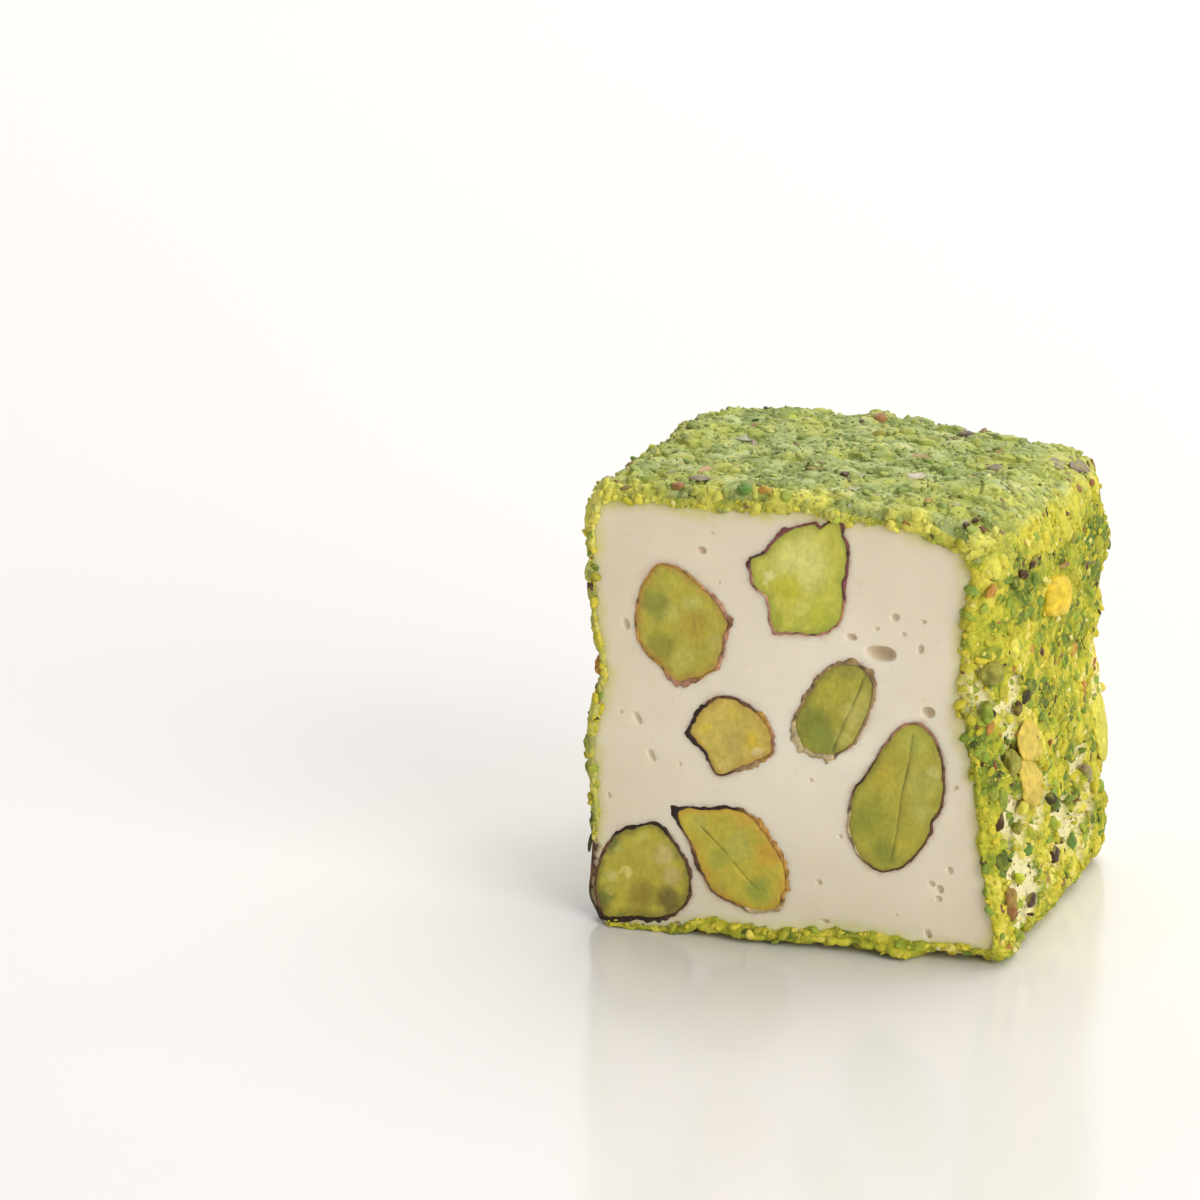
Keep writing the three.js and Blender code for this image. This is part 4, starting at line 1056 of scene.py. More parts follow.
# Each bit: colour, place (along the bar and height on a side, across and along on top), its half sizes
# along those two and outwards, and a turn in degrees.
RIGHT_BITS = [
    ("gold", -0.8, 26.8, 2.6, 1.7, 1.1, 5), ("slice", -7.4, 16.7, 3.3, 1.7, 0.45, 12),
    ("slice", -8.4, 13.6, 3.3, 1.8, 0.6, 35), ("olive", -13.6, 24.1, 1.1, 1.1, 0.95, 0),
    ("lemon", -10.8, 25.4, 0.9, 1.1, 0.5, 0), ("lemon", 12.6, 12.0, 1.9, 3.2, 0.4, 0),
    ("orange", -14.2, 31.0, 0.55, 0.5, 0.4, 0), ("dark", -9.2, 31.0, 0.9, 0.4, 0.4, 20),
    ("dark", -6.6, 31.5, 1.3, 0.4, 0.4, -10), ("brown", 0.7, 28.9, 1.0, 0.3, 0.5, 0),
    ("deep", -10.7, 30.6, 0.8, 0.4, 0.4, 0), ("deep", -7.3, 21.2, 0.9, 0.8, 0.6, 0),
    ("black", -8.0, 20.6, 0.4, 0.7, 0.5, 15), ("dark", -9.4, 20.0, 0.3, 0.55, 0.35, 0),
    ("deep", -3.9, 18.8, 0.8, 0.6, 0.55, 0), ("green", -14.2, 21.0, 0.6, 0.9, 0.55, 0),
    ("orange", -13.4, 19.7, 0.4, 0.7, 0.35, 0), ("maroon", -11.7, 18.9, 0.22, 0.2, 0.25, 0),
    ("maroon", -10.1, 17.3, 0.4, 0.5, 0.35, 0), ("dark", -0.4, 21.3, 0.2, 0.6, 0.25, 0),
    ("orange", 5.3, 20.5, 0.7, 0.6, 0.3, 0), ("maroon", 2.4, 16.1, 0.25, 0.2, 0.25, 0),
    ("green", -14.2, 17.3, 0.5, 0.5, 0.5, 0), ("olive", -11.4, 16.0, 1.2, 1.1, 0.7, 0),
    ("black", -13.4, 15.4, 0.4, 0.5, 0.45, 0), ("black", -12.1, 15.0, 0.35, 0.7, 0.5, 0),
    ("lemon", -12.8, 15.3, 0.2, 0.25, 0.6, 0), ("maroon", -10.1, 14.5, 0.5, 0.22, 0.35, 25),
    ("green", -14.2, 14.4, 0.35, 0.6, 0.45, 0), ("dark", -13.8, 12.1, 0.3, 0.8, 0.6, 0),
    ("green", -13.2, 13.6, 0.7, 1.0, 0.7, 0), ("deep", -1.1, 9.6, 1.0, 0.9, 0.6, 0),
    ("black", -1.8, 10.2, 0.4, 0.5, 0.6, 0), ("mauve", 8.7, 9.0, 1.4, 0.6, 0.35, 35),
    ("olive", -10.1, 10.2, 0.42, 0.42, 0.42, 0), ("lime", -12.8, 9.7, 0.5, 0.5, 0.45, 0),
    ("teal", -8.3, 8.0, 0.6, 0.45, 0.4, 0), ("purple", -0.3, 4.9, 0.6, 0.75, 0.4, -20),
    ("deep", -13.2, 8.4, 0.6, 0.9, 0.75, 0), ("black", -13.0, 8.5, 0.25, 0.25, 0.95, 0),
    ("lime", -10.7, 6.3, 0.5, 0.5, 0.45, 0), ("brown", -13.2, 5.0, 0.65, 1.35, 0.85, 0),
    ("purple", -7.7, 3.5, 0.5, 0.65, 0.35, 20), ("orange", 4.8, 4.4, 0.6, 0.35, 0.3, 0),
    ("maroon", -6.8, 8.5, 0.3, 0.25, 0.2, 0), ("maroon", 1.3, 5.6, 0.35, 0.2, 0.25, 0),
    ("brown", -3.5, 3.8, 0.4, 0.3, 0.25, 0), ("brown", 1.5, 1.9, 0.5, 0.3, 0.25, 0),
    ("orange", -13.6, 1.7, 0.5, 0.3, 0.3, 0), ("green", -11.9, 2.0, 0.5, 0.4, 0.4, 0),
    ("lemon", -9.6, 11.9, 0.8, 0.6, 0.4, 0), ("dark", -8.2, 2.5, 0.2, 0.15, 0.25, 0),
    ("dark", -2.0, 34.3, 0.25, 0.7, 0.25, 15), ("brown", 3.1, 33.0, 0.7, 0.9, 0.2, 0),
    ("brown", 2.3, 34.0, 0.5, 0.4, 0.2, 0), ("teal", -4.2, 27.5, 0.6, 0.5, 0.4, 0),
    ("green", -2.6, 13.4, 0.6, 0.6, 0.45, 0), ("deep", 5.6, 24.6, 0.8, 0.6, 0.4, 0),
    ("olive", 7.6, 15.0, 0.7, 0.7, 0.4, 0), ("orange", -6.6, 24.0, 0.5, 0.4, 0.2, 0),
]
TOP_BITS = [
    ("mauve", 14.6, 8.8, 0.8, 1.2, 0.18, -20), ("mauve", 15.9, 10.8, 0.9, 1.2, 0.18, -20),
    ("white", 7.0, -5.2, 0.7, 0.9, 0.14, 10), ("white", 13.4, -5.0, 0.65, 0.9, 0.14, -30),
    ("grey", 8.4, 1.0, 0.45, 0.6, 0.14, 0), ("brown", 4.9, 2.3, 0.9, 0.6, 0.12, 0),
    ("dark", 13.5, -13.8, 0.35, 0.4, 0.2, 0), ("dark", 13.8, -12.6, 0.25, 0.4, 0.2, 0),
    ("maroon", 14.5, -13.1, 0.35, 0.35, 0.2, 0), ("lime", 11.1, 8.3, 0.45, 0.6, 0.35, 0),
    ("pink", -9.4, -9.2, 0.5, 0.9, 0.3, 0), ("purple", -10.5, -2.9, 0.5, 0.6, 0.15, 0),
    ("grey", -9.5, 1.5, 1.0, 1.1, 0.14, 0), ("brown", -10.1, 5.8, 0.35, 0.5, 0.2, 0),
    ("lime", -8.1, 9.2, 0.6, 0.8, 0.4, 0), ("pink", -11.9, 5.8, 0.5, 0.6, 0.14, 0),
    ("orange", -2.8, -13.9, 0.6, 0.5, 0.4, 0), ("teal", -4.4, -14.0, 0.6, 0.6, 0.4, 0),
    ("brown", -9.9, -14.0, 0.5, 0.4, 0.25, 0), ("dark", -0.9, -6.9, 0.8, 0.5, 0.16, 0),
    ("dark", 1.7, -7.1, 0.3, 0.4, 0.2, 0), ("mauve", -5.0, -2.4, 0.6, 0.8, 0.12, 0),
    ("mauve", -8.7, -11.8, 0.9, 0.8, 0.12, 10), ("grey", 3.4, -10.6, 0.5, 0.6, 0.12, 0),
    ("brown", 9.6, -11.0, 0.4, 0.5, 0.14, 0), ("dark", -13.9, -3.6, 0.35, 0.5, 0.15, 0),
    ("purple", 5.8, 9.2, 0.6, 0.7, 0.14, 0),
]
LEFT_BITS = [
    ("black", -14.2, 8.2, 0.25, 0.9, 0.16, 0), ("black", -14.2, 6.4, 0.25, 0.8, 0.16, 0),
    ("orange", -13.4, 21.3, 0.9, 0.9, 0.6, 0), ("dark", -13.7, 19.5, 0.4, 0.5, 0.4, 0),
    ("maroon", -13.9, 17.2, 0.3, 0.35, 0.3, 0), ("green", -13.6, 14.6, 0.6, 0.8, 0.5, 0),
    ("green", -13.7, 12.6, 0.5, 0.6, 0.4, 0), ("gold", 6.0, 27.0, 2.2, 1.5, 0.8, 0),
    ("slice", -2.0, 9.5, 2.0, 1.6, 0.7, 30), ("brown", 2.4, 20.5, 0.7, 1.3, 0.4, 20),
]
STREWN_BITS = 46           # more of them where none has a place of its own
STREWN_COLOURS = ["green", "deep", "teal", "dark", "brown", "lemon", "olive", "mauve", "orange", "purple"]
FLAKES = ("mauve", "grey", "white", "purple", "brown", "maroon", "dark")
DUST = "#B4B04A"           # of the ground nut, on the bits
LARGE_BIT = 1.5            # half size from which a bit is smoother and less dusty
BIT_LIFT, FLAKE_LIFT = 0.1, 0.34       # how far out they lie: flakes on top the farthest


def on_coat(where, first, second):
    """A place on the coat's right, top or left side, with its directions along, up or across, and out."""
    number = ("right", "top", "left").index(where)
    rows = slice(number * 2 * HALF, (number + 1) * 2 * HALF)
    y = np.array([second if where == "top" else first])
    low, high = (on_sides(COAT, lift, y)[rows, 0] for lift in (0.0, 1.0))
    gap = np.abs(low[:, 0] - first) if where == "top" else np.abs(low[:, 2] - second)
    spot = gap.argmin()
    out = Vector(high[spot] - low[spot]).normalized()
    along = Vector((0, 1, 0))
    third = out.cross(along).normalized()
    axes = (third, along, out) if where == "top" else (along, -third, out)
    return Vector(low[spot]), axes


def strewn_bits(draw):
    """Bits of the same kinds at places drawn over the far half of the sides."""
    for _ in range(STREWN_BITS):
        where = str(draw.choice(["left", "left", "top", "right"]))
        first = draw.uniform(-13, 14) if where != "right" else draw.uniform(2, 14)
        second = draw.uniform(2, 14) if where == "top" else draw.uniform(2, 34)
        colour = str(draw.choice(STREWN_COLOURS))
        size = draw.uniform(0.35, 0.9)
        wide = size * draw.uniform(0.6, 1.2)
        yield where, (colour, first, second, size, wide, size * 0.5, draw.uniform(0, 180))


def bit_shape(halves, number):
    """A lumpy ball's points and faces, drawn out to a bit's half sizes."""
    shell = bmesh.new()
    bmesh.ops.create_icosphere(shell, subdivisions=4 if max(halves) > 1 else 3, radius=1.0)
    ball = np.array([v.co for v in shell.verts])
    faces = np.array([[v.index for v in f.verts] for f in shell.faces])
    shell.free()
    lumps = 0.5 if max(halves) > LARGE_BIT else 1.0
    rough = lumps * (0.3 * uneven(ball, 0.9, number * 1.7) + 0.14 * uneven(ball, 0.45, number * 2.3))
    shaped = ball * (1 + rough[:, None]) * halves
    return shaped + 0.09 * ball * uneven(shaped, 0.35, number * 1.1)[:, None], faces


def make_bits():
    """The larger bits: nut slices and lumps in one piece, and papery flakes and chips in another."""
    draw = np.random.default_rng(12)
    bits = [("right", bit) for bit in RIGHT_BITS] + [("top", bit) for bit in TOP_BITS]
    bits += [("left", bit) for bit in LEFT_BITS] + list(strewn_bits(draw))
    for name, wanted in (("pressed_nuts", False), ("pressed_skins", True)):
        points, faces, tints = [], [], []
        for number, (where, (colour, first, second, *halves, turn)) in enumerate(bits):
            if (colour in FLAKES) != wanted:
                continue
            place, axes = on_coat(where, first, second)
            if colour != "black" and in_breakout(np.array(place), SKIN_ROOM) > 0.1:
                continue
            shaped, own_faces = bit_shape(halves, number)
            faces.append(own_faces + sum(len(p) for p in points))
            turned = shaped @ np.array(Matrix.Rotation(math.radians(turn), 3, "Z")).T
            lift = FLAKE_LIFT if where == "top" and colour in FLAKES else BIT_LIFT
            spots = np.array(place + lift * axes[2]) + turned @ np.array(axes)
            spots[:, 2] = np.maximum(spots[:, 2], BITS_LOW)
            spots = settled(spots)
            points.append(spots)
            dusty = smooth_step(0.0, 0.7, uneven(spots, 0.8) + 0.5 * uneven(spots, 0.3))[:, None]
            dusty *= 0.15 if max(halves) > LARGE_BIT else 0.5
            tint, dust = (np.array(linear(code)) for code in (BIT_COLOURS[colour], DUST))
            tints.append(mix(tint, dust, dusty) * (0.95 + 0.2 * uneven(spots, 0.5)[:, None]))
        material = bit_material(name, 0.4 if wanted else 0.55)
        piece = new_piece(name, np.concatenate(points), material, np.concatenate(faces))
        give(piece, "tint", np.concatenate(tints))
        mend(piece, turn=True)
        dress(piece, "ground_pistachio", "pistachio_coat")


def bit_material(name, roughness):
    """Nut and skin pressed into the coat: waxy where cut, each bit with a tone of its own."""
    material, tree, place = new_material(name)
    tint = add(tree, "ShaderNodeAttribute", attribute_name="tint")["Color"]
    colour = speckled(tree, place, tint, 0.5, 3.0, 0.8, 1.15)
    finish(tree, colour, roughness, gloss=0.2, see_through=(0.2, 0.5, (1.0, 0.9, 0.4)),
           relief=grain(tree, place, 0.25, 3.0), depth=0.08)
    return material


# ---------------------------------------------------------------- kernels

SKIN_COLOURS = {
    "black": "#33231B", "brown": "#6E4C33", "mauve": "#7C4A46", "pink": "#B8866A", "orange": "#B98A3E",
    "tan": "#A08458", "cream": "#C4B084",
}

# How each kernel looks: its flesh, patches on it (across and up from its middle, radius, colour), the
# colour along its rim, and its skin as arcs from one direction to another (degrees anticlockwise from
# the right), with width in millimetres and colour.
LOOKS = {
    1: ("#B3A83C", [
        (-2.0, 1.6, 1.3, "#8F9134"), (-1.6, -2.0, 1.2, "#92902E"), (-0.8, 0.8, 0.8, "#BAB654"),
        (0.9, 1.8, 0.9, "#BDB85A"), (1.0, 0.0, 1.3, "#B29C32"), (-1.4, 3.8, 1.1, "#AFAA3C"),
        (2.9, -1.4, 0.9, "#BBB152"), (0.2, -2.8, 1.0, "#BDB450"),
    ], "#B28C3C", [
        (0, 360, 0.04, "orange"), (5, 62, 0.12, "pink"), (-4, 14, 0.42, "brown"), (-50, -4, 0.16, "pink"),
        (250, 285, 0.3, "pink"), (222, 250, 0.1, "orange"),
    ]),
    2: ("#C3BF4A", [
        (-2.6, 1.3, 1.2, "#C8C458"), (0.5, 1.6, 2.2, "#D6D27A"), (-0.9, -0.6, 1.3, "#C2BC34"),
        (2.1, -3.1, 1.2, "#B5B838"), (-1.8, -3.4, 0.8, "#A8AA38"), (0.4, -2.2, 0.7, "#CFCB62"),
        (-2.4, 0.0, 0.6, "#D9D684"),
    ], "#98A03A", [
        (0, 360, 0.05, "pink"), (100, 178, 0.2, "mauve"), (60, 100, 0.12, "mauve"),
        (-22, 58, 0.26, "mauve"), (232, 252, 0.34, "pink"), (-60, -22, 0.1, "pink"),
    ]),
    3: ("#C9B454", [
        (-2.1, 0.6, 0.6, "#D1BC40"), (1.5, -0.3, 0.9, "#D2B42A"), (0.0, 1.8, 0.8, "#CDB84C"),
        (0.2, -0.4, 1.2, "#C2AB54"), (2.1, -1.1, 0.5, "#D9C888"), (-0.6, -2.4, 0.6, "#CFBE62"),
    ], "#B9923C", [
        (0, 360, 0.07, "brown"), (130, 232, 0.24, "black"), (172, 190, 0.4, "black"),
        (-45, 48, 0.26, "orange"), (280, 325, 0.24, "tan"), (-15, 15, 0.12, "pink"),
    ]),
    4: ("#A8A038", [
        (-0.6, 1.7, 1.6, "#AEA636"), (-1.7, -1.4, 1.6, "#82882C"), (-0.7, -2.8, 1.2, "#868E34"),
        (1.9, -0.6, 1.3, "#C0B85E"), (2.4, 1.0, 1.0, "#B8B052"), (1.2, 3.2, 0.8, "#97903A"),
        (1.0, -2.4, 0.9, "#BBB458"),
    ], "#8C8634", [
        (0, 360, 0.08, "tan"), (25, 150, 0.3, "tan"), (185, 275, 0.42, "cream"), (160, 200, 0.16, "tan"),
        (-60, 25, 0.14, "tan"),
    ]),
    5: ("#AFA63A", [
        (-1.4, 2.0, 1.9, "#B6A634"), (-2.0, -2.0, 1.9, "#92942F"), (-0.7, -4.6, 1.2, "#8E9230"),
        (2.0, 1.4, 1.6, "#B2AC4C"), (0.9, -4.2, 1.0, "#BDB23A"), (1.4, 4.6, 1.0, "#AFB04A"),
        (2.2, -1.2, 1.0, "#B6B052"), (3.0, 2.4, 0.6, "#C4BC66"),
    ], "#929034", [
        (0, 360, 0.05, "brown"), (60, 110, 0.1, "pink"), (-80, 40, 0.08, "brown"),
        (195, 240, 0.16, "cream"),
    ]),
    6: ("#B8AB3A", [
        (-2.7, 2.0, 1.0, "#6E7634"), (-3.0, -2.6, 0.9, "#7C8230"), (-0.4, 0.6, 1.4, "#BAAA3C"),
        (1.9, 1.6, 1.0, "#CBB970"), (2.6, -0.2, 0.8, "#C0AE6A"), (2.3, -2.1, 1.1, "#786A2A"),
        (0.0, -2.2, 1.3, "#9C8A30"), (-2.9, -0.8, 0.7, "#B4B042"), (-2.0, 1.7, 0.4, "#B4B250"),
        (-1.3, -0.2, 0.6, "#D2C66A"), (-2.5, -0.7, 0.45, "#CABF66"), (0.2, 3.0, 0.5, "#BEB450"),
        (-2.7, -1.9, 0.5, "#B9B04A"), (-1.5, -3.9, 0.4, "#A4AC44"), (2.9, 3.1, 0.4, "#B5AA58"),
        (-0.5, 2.6, 0.3, "#B9B04A"), (1.9, -3.3, 0.4, "#B4A848"),
    ], "#6A6528", [
        (0, 360, 0.1, "brown"), (225, 300, 0.2, "black"), (-20, 60, 0.14, "brown"),
        (60, 130, 0.14, "black"), (150, 225, 0.09, "brown"),
    ]),
    7: ("#C0B13C", [
        (0.6, 1.2, 1.4, "#B9B44C"), (-0.8, -0.2, 1.2, "#A3A43A"), (2.4, -2.6, 1.1, "#9CA43C"),
        (-2.6, 2.6, 0.9, "#BDB24C"), (3.2, 0.6, 0.9, "#C8A034"), (1.2, 3.4, 0.9, "#C2A63C"),
        (-2.0, -1.6, 0.9, "#B89A34"), (-1.0, -3.0, 0.8, "#BAA03C"),
    ], "#C89A38", [
        (0, 360, 0.07, "brown"), (132, 156, 0.5, "black"), (75, 132, 0.14, "black"),
        (158, 215, 0.2, "brown"), (-80, 75, 0.26, "orange"), (-75, -40, 0.36, "cream"),
    ]),
}
KERNEL_RINGS = 26          # of the cut face
BACK_RINGS = 7             # of the hidden rest
NO_SEAM = 9.0              # a distance to the seam where there is none
SMALL_CHIP = 0.6           # radius up to which a patch is a chip with a ragged, sharper edge


def seam_gap(kernel, u, z):
    """Signed distance to the seam between a kernel's halves, in millimetres, and how far past its ends."""
    if kernel["seam"] is None:
        return np.full_like(u, NO_SEAM), np.zeros_like(u)
    start, end = (np.array(p) for p in kernel["seam"])
    if start[1] < end[1]:
        start, end = end, start
    run = (end - start) / np.linalg.norm(end - start)
    along = (u - start[0]) * run[0] + (z - start[1]) * run[1]
    across = (u - start[0]) * run[1] - (z - start[1]) * run[0]
    bow = 0.05 * np.sin(along * 0.9)
    past = np.maximum(-along, along - np.linalg.norm(end - start))
    return -(across + bow), np.maximum(past, 0)


def make_kernel(kernel, material):
    """One cut kernel: a waxy, slightly domed cut face over the hidden rest of it."""
    side, reach, middle, depth = (kernel[name] for name in ("side", "reach", "middle", "depth"))
    shares = np.sin(np.linspace(0, math.pi / 2, KERNEL_RINGS + 1)[1:]) ** 0.9
    shares[-1] = 1.0
    turn = np.stack([np.cos(KERNEL_TURNS), np.sin(KERNEL_TURNS)], -1)[:, None]
    u, z = np.moveaxis(middle + turn * reach[:, None, None] * shares[None, :, None], -1, 0)
    inside = (1 - shares) * reach[:, None]
    gap, past = seam_gap(kernel, u, z)
    spots = np.stack([u, np.full_like(u, 3.0 * kernel["look"]), z], -1)
    proud = KERNEL_PROUD * (1 - np.exp(-inside / 0.12)) - 0.03
    proud += (0.05 * uneven(spots, 2.2) + 0.02 * uneven(spots, 0.6)) * np.clip(inside / 0.4, 0, 1)
    if kernel["seam"] is not None:
        proud -= 0.09 * np.exp(-(gap / 0.13) ** 2) * np.exp(-(past / 0.3) ** 2)
        proud += 0.05 * smooth_step(-0.3, 0.3, gap) * np.clip(inside / 0.4, 0, 1)
    front = on_face(side, u, z, proud)
    shares = np.cos(np.linspace(0, math.pi / 2, BACK_RINGS + 2)[1:-1])
    back = middle + turn * reach[:, None, None] * shares[None, :, None]
    sunk = depth * np.sqrt(1 - shares ** 2)[None, :] + 0 * reach[:, None]
    back = on_face(side, back[..., 0], back[..., 1], -sunk)
    grid = np.concatenate([front, back], 1)
    tips = on_face(side, *np.repeat(middle[:, None], 2, 1), np.array([KERNEL_PROUD, -depth]))
    columns = grid.shape[1]
    rows = np.arange(KERNEL_AROUND)
    following = (rows + 1) % KERNEL_AROUND
    tip = np.full_like(rows, grid.shape[0] * columns)
    fans = np.concatenate([
        np.stack([rows * columns, following * columns, tip], -1),
        np.stack([following * columns + columns - 1, rows * columns + columns - 1, tip + 1], -1)])
    points = np.concatenate([grid.reshape(-1, 3), tips])
    name = kernel["node"].replace("pistachio", "kernel")
    piece = new_piece(name, points, material, grid_faces(KERNEL_AROUND, columns)[:, ::-1], fans)
    tint = painted(kernel, u, z, inside)
    tips_tint = [tint[:, 0].mean(0), linear(SKIN_COLOURS["black"])]
    skin_back = np.tile(linear(SKIN_COLOURS["brown"]), (KERNEL_AROUND, BACK_RINGS, 1))
    give(piece, "tint", np.concatenate([np.concatenate([tint, skin_back], 1).reshape(-1, 4), tips_tint]))
    pad = np.full((KERNEL_AROUND, BACK_RINGS), NO_SEAM)
    for title, values in (("gap", gap), ("past", past)):
        give(piece, title, np.append(np.concatenate([values, pad], 1).ravel(), [NO_SEAM, NO_SEAM]))
    dress(piece, "pistachio_kernel", kernel["node"])


def painted(kernel, u, z, inside):
    """A kernel's flesh tones: soft patches, a deeper tone along its rim and a fine mottle."""
    flesh, patches, edge, _ = LOOKS[kernel["look"]]
    spots = np.stack([u, np.full_like(u, 2.0), z], -1)
    across, up = u - kernel["middle"][0], z - kernel["middle"][1]
    tint = np.broadcast_to(linear(flesh), (*u.shape, 4))
    for x, y, radius, code in patches:
        gap = np.hypot(across - x, up - y) / radius
        gap += 0.35 * uneven(spots, 0.9 * radius, x) + 0.12 * uneven(spots, 0.4)
        soft = 0.5
        if radius <= SMALL_CHIP:
            soft = 0.12
            gap += 0.45 * uneven(spots, 0.45, y)
        share = 0.9 * smooth_step(0.85 + soft, 0.85 - soft, gap)
        tint = mix(tint, np.array(linear(code)), share[..., None])
    rim = smooth_step(0.95, 0.0, inside + 0.3 * uneven(spots, 0.8) + 0.15 * uneven(spots, 0.35))
    tint = mix(tint, np.array(linear(edge)), (0.7 * rim)[..., None])
    streaks = uneven(np.stack([0.25 * u + z, np.full_like(u, 4.0), 2.2 * (u - 0.3 * z)], -1), 2.0)
    return tint * (1 + 0.07 * streaks + 0.06 * uneven(spots, 0.5) + 0.05 * uneven(spots, 0.25))[..., None]


def make_skin(kernel, material):
    """The thin papery skin round a cut kernel: a ragged band of changing width and colour."""
    rim = np.insert(ring_points(kernel), 2, 3.0, axis=-1)
    width = np.zeros(KERNEL_AROUND)
    colour = np.tile(linear(SKIN_COLOURS["brown"]), (KERNEL_AROUND, 1))
    for start, end, wide, tint in LOOKS[kernel["look"]][3]:
        middle, half = (start + end) / 2, (end - start) / 2
        away = np.abs((np.degrees(KERNEL_TURNS) - middle + 180) % 360 - 180)
        share = smooth_step(half + 8, half - 8, away)
        width = mix(width, wide, share)
        colour = mix(colour, linear(SKIN_COLOURS[tint]), share[:, None])
    soot = np.clip(1.3 * uneven(rim, 0.7, 7.0), 0, 0.7) * (width < 0.35)
    colour = mix(colour, linear(SKIN_COLOURS["black"]), soot[:, None])
    torn = 1 + 1.2 * uneven(rim, 0.9) + 0.8 * uneven(rim, 0.3)
    width = np.maximum(width * torn, 0.02)
    lap = 0.02 + 0.16 * np.clip(uneven(rim, 0.8, 5.0), 0, 1) + 0.05 * uneven(rim, 0.3, 4.0).clip(0, 1)
    lift = 0.03 * uneven(rim, 0.4, 2.0)
    rings = []
    for outward, proud in (
        (-0.12 - lap, 0.02), (-lap, 0.155), (0.35 * width, 0.13), (0.8 * width, 0.07), (width, -0.06),
        (0 * width, -0.6),
    ):
        u, z = ring_points(kernel, inset=-outward).T
        rings.append(on_face(kernel["side"], u, z, proud + lift * (proud > 0)))
    name = kernel["node"].replace("pistachio", "skin")
    faces = grid_faces(KERNEL_AROUND, len(rings), True, True)[:, ::-1]
    piece = new_piece(name, np.stack(rings, 1), material, faces)
    shade = 0.95 + 0.4 * np.clip(uneven(rim, 0.4, 9.0), -1, 1)
    give(piece, "tint", np.repeat(colour * shade[:, None], len(rings), 0))
    dress(piece, "pistachio_kernel")


def flesh_material():
    """Raw pistachio flesh, cut: waxy and finely grained, with a dark hairline seam between its halves."""
    material, tree, place = new_material("pistachio_flesh")
    tint = add(tree, "ShaderNodeAttribute", attribute_name="tint")["Color"]
    colour = speckled(tree, place, tint, 0.28, 4.0, 0.93, 1.13, (1, 1, 0.6))
    seam = mottle(tree, place, 1.6, 1.0, 0.35, 0.65, 0.15, 0.7)
    for name, low, high, to_low, to_high in (
        ("past", 0.0, 0.4, 1.0, 0.0), ("gap", -0.1, -0.02, 0.0, 1.0), ("gap", 0.02, 0.14, 1.0, 0.0),
    ):
        distance = add(tree, "ShaderNodeAttribute", attribute_name=name)["Fac"]
        part = add(tree, "ShaderNodeMapRange", {
            "Value": distance, "From Min": low, "From Max": high, "To Min": to_low, "To Max": to_high})[0]
        seam = add(tree, "ShaderNodeMath", {0: seam, 1: part}, operation="MULTIPLY")[0]
    colour = stain(tree, colour, seam, "#5C5C20")
    roughness = mottle(tree, place, 0.8, 2.0, 0.3, 0.7, 0.36, 0.56)
    finish(tree, colour, roughness, gloss=0.4, see_through=(0.3, 0.6, (1.0, 0.9, 0.25)),
           relief=grain(tree, place, 0.24, 4.0), depth=0.06, strength=0.7)
    return material


def skin_material():
    """Pistachio skin: thin, dry and papery, from purple-black to orange-brown."""
    material, tree, place = new_material("pistachio_skin")
    tint = add(tree, "ShaderNodeAttribute", attribute_name="tint")["Color"]
    colour = speckled(tree, place, tint, 0.3, 2.0, 0.65, 1.3)
    finish(tree, colour, roughness=0.65, gloss=0.3, relief=grain(tree, place, 0.2, 2.0), depth=0.05,
           strength=0.7)
    return material


# ---------------------------------------------------------------- stage

FLOOR_REACH = 3000.0       # from the middle to each side
SURROUND = 0.36            # how bright the white surround is

# Each soft light: name, place in metres, watts, width and height.
LAMPS = [
    ("sky_panel", (0.14, 0.42, 0.8), 6.3, 0.8, 0.8), ("right_panel", (0.6, -0.35, 0.34), 3.8, 0.5, 0.5),
    ("front_panel", (-0.15, -1.0, 0.12), 0.9, 0.9, 0.24), ("backdrop", (-0.33, 0.94, 0.45), 3.0, 1.4, 0.9),
]


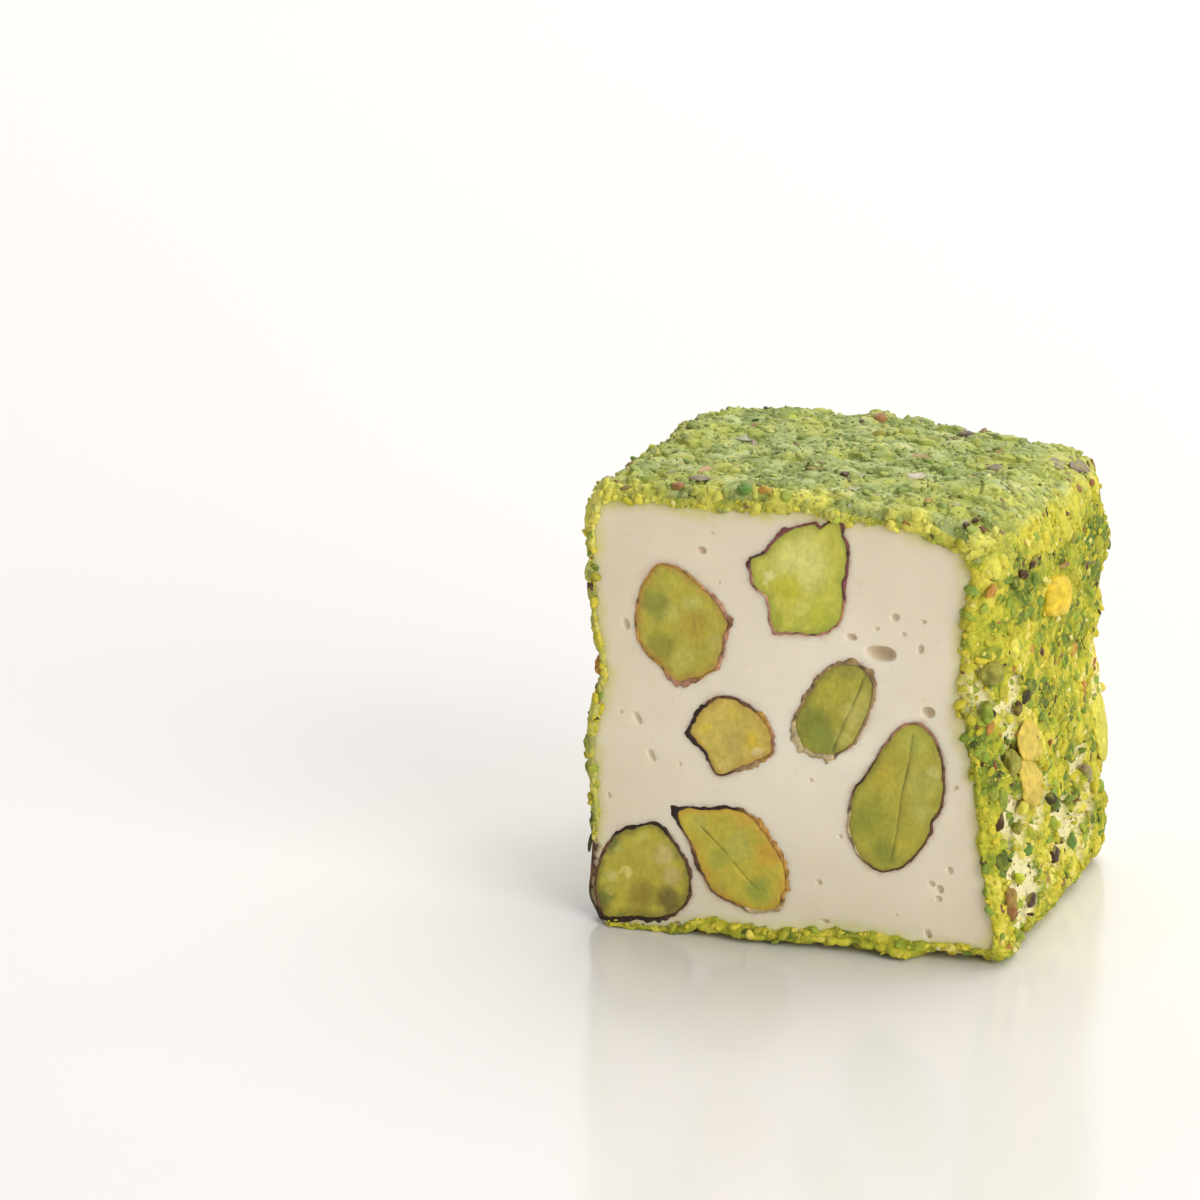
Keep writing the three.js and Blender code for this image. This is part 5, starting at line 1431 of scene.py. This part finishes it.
def set_stage():
    """A plain pale floor, a white surround and soft light from above, behind and the right."""
    scene = bpy.context.scene
    material, tree, _ = new_material("pale_floor")
    finish(tree, "#E8E4DF", roughness=0.16, gloss=0.5)
    corners = [(x * FLOOR_REACH, y * FLOOR_REACH, 0) for x, y in ((-1, -1), (1, -1), (1, 1), (-1, 1))]
    floor = new_piece("floor", corners, material, [(0, 1, 2, 3)])
    world = bpy.data.worlds.new("white_surround")
    world.use_nodes = True
    world.node_tree.nodes["Background"].inputs["Color"].default_value = (1, 1, 1, 1)
    world.node_tree.nodes["Background"].inputs["Strength"].default_value = SURROUND
    scene.world = world
    for name, place, watts, wide, high in LAMPS:
        lamp = bpy.data.lights.new(name, "AREA")
        lamp.shape = "RECTANGLE"
        lamp.energy, lamp.size, lamp.size_y = watts, wide, high
        holder = bpy.data.objects.new(name, lamp)
        holder.location = place
        holder.rotation_euler = (LOOK_AT * MM - Vector(place)).to_track_quat("-Z", "Y").to_euler()
        scene.collection.objects.link(holder)
    scene.view_settings.view_transform = "Standard"


def set_camera():
    """The camera at the view's angle, on its target's right and above it."""
    right = Vector((math.cos(AZIMUTH), math.sin(AZIMUTH), 0))
    level = Vector((math.sin(AZIMUTH), -math.cos(AZIMUTH), 0))
    back = level * math.cos(ELEVATION) + Vector((0, 0, math.sin(ELEVATION)))
    up = back.cross(right)
    place = (LOOK_AT + back * CAMERA_BACK + right * CAMERA_RIGHT + up * CAMERA_UP) * MM
    camera = bpy.data.objects.new("camera", bpy.data.cameras.new("camera"))
    camera.data.lens, camera.data.sensor_width = LENS, SENSOR
    camera.data.clip_start, camera.data.clip_end = NEAREST, FARTHEST
    camera.matrix_world = Matrix.Translation(place) @ Matrix((right, up, back)).transposed().to_4x4()
    bpy.context.scene.collection.objects.link(camera)
    bpy.context.scene.camera = camera


set_camera()
set_stage()
make_nougat()
strew_crumbs(make_coat())
make_bits()
flesh, skin = flesh_material(), skin_material()
for kernel in kernels:
    make_kernel(kernel, flesh)
    make_skin(kernel, skin)
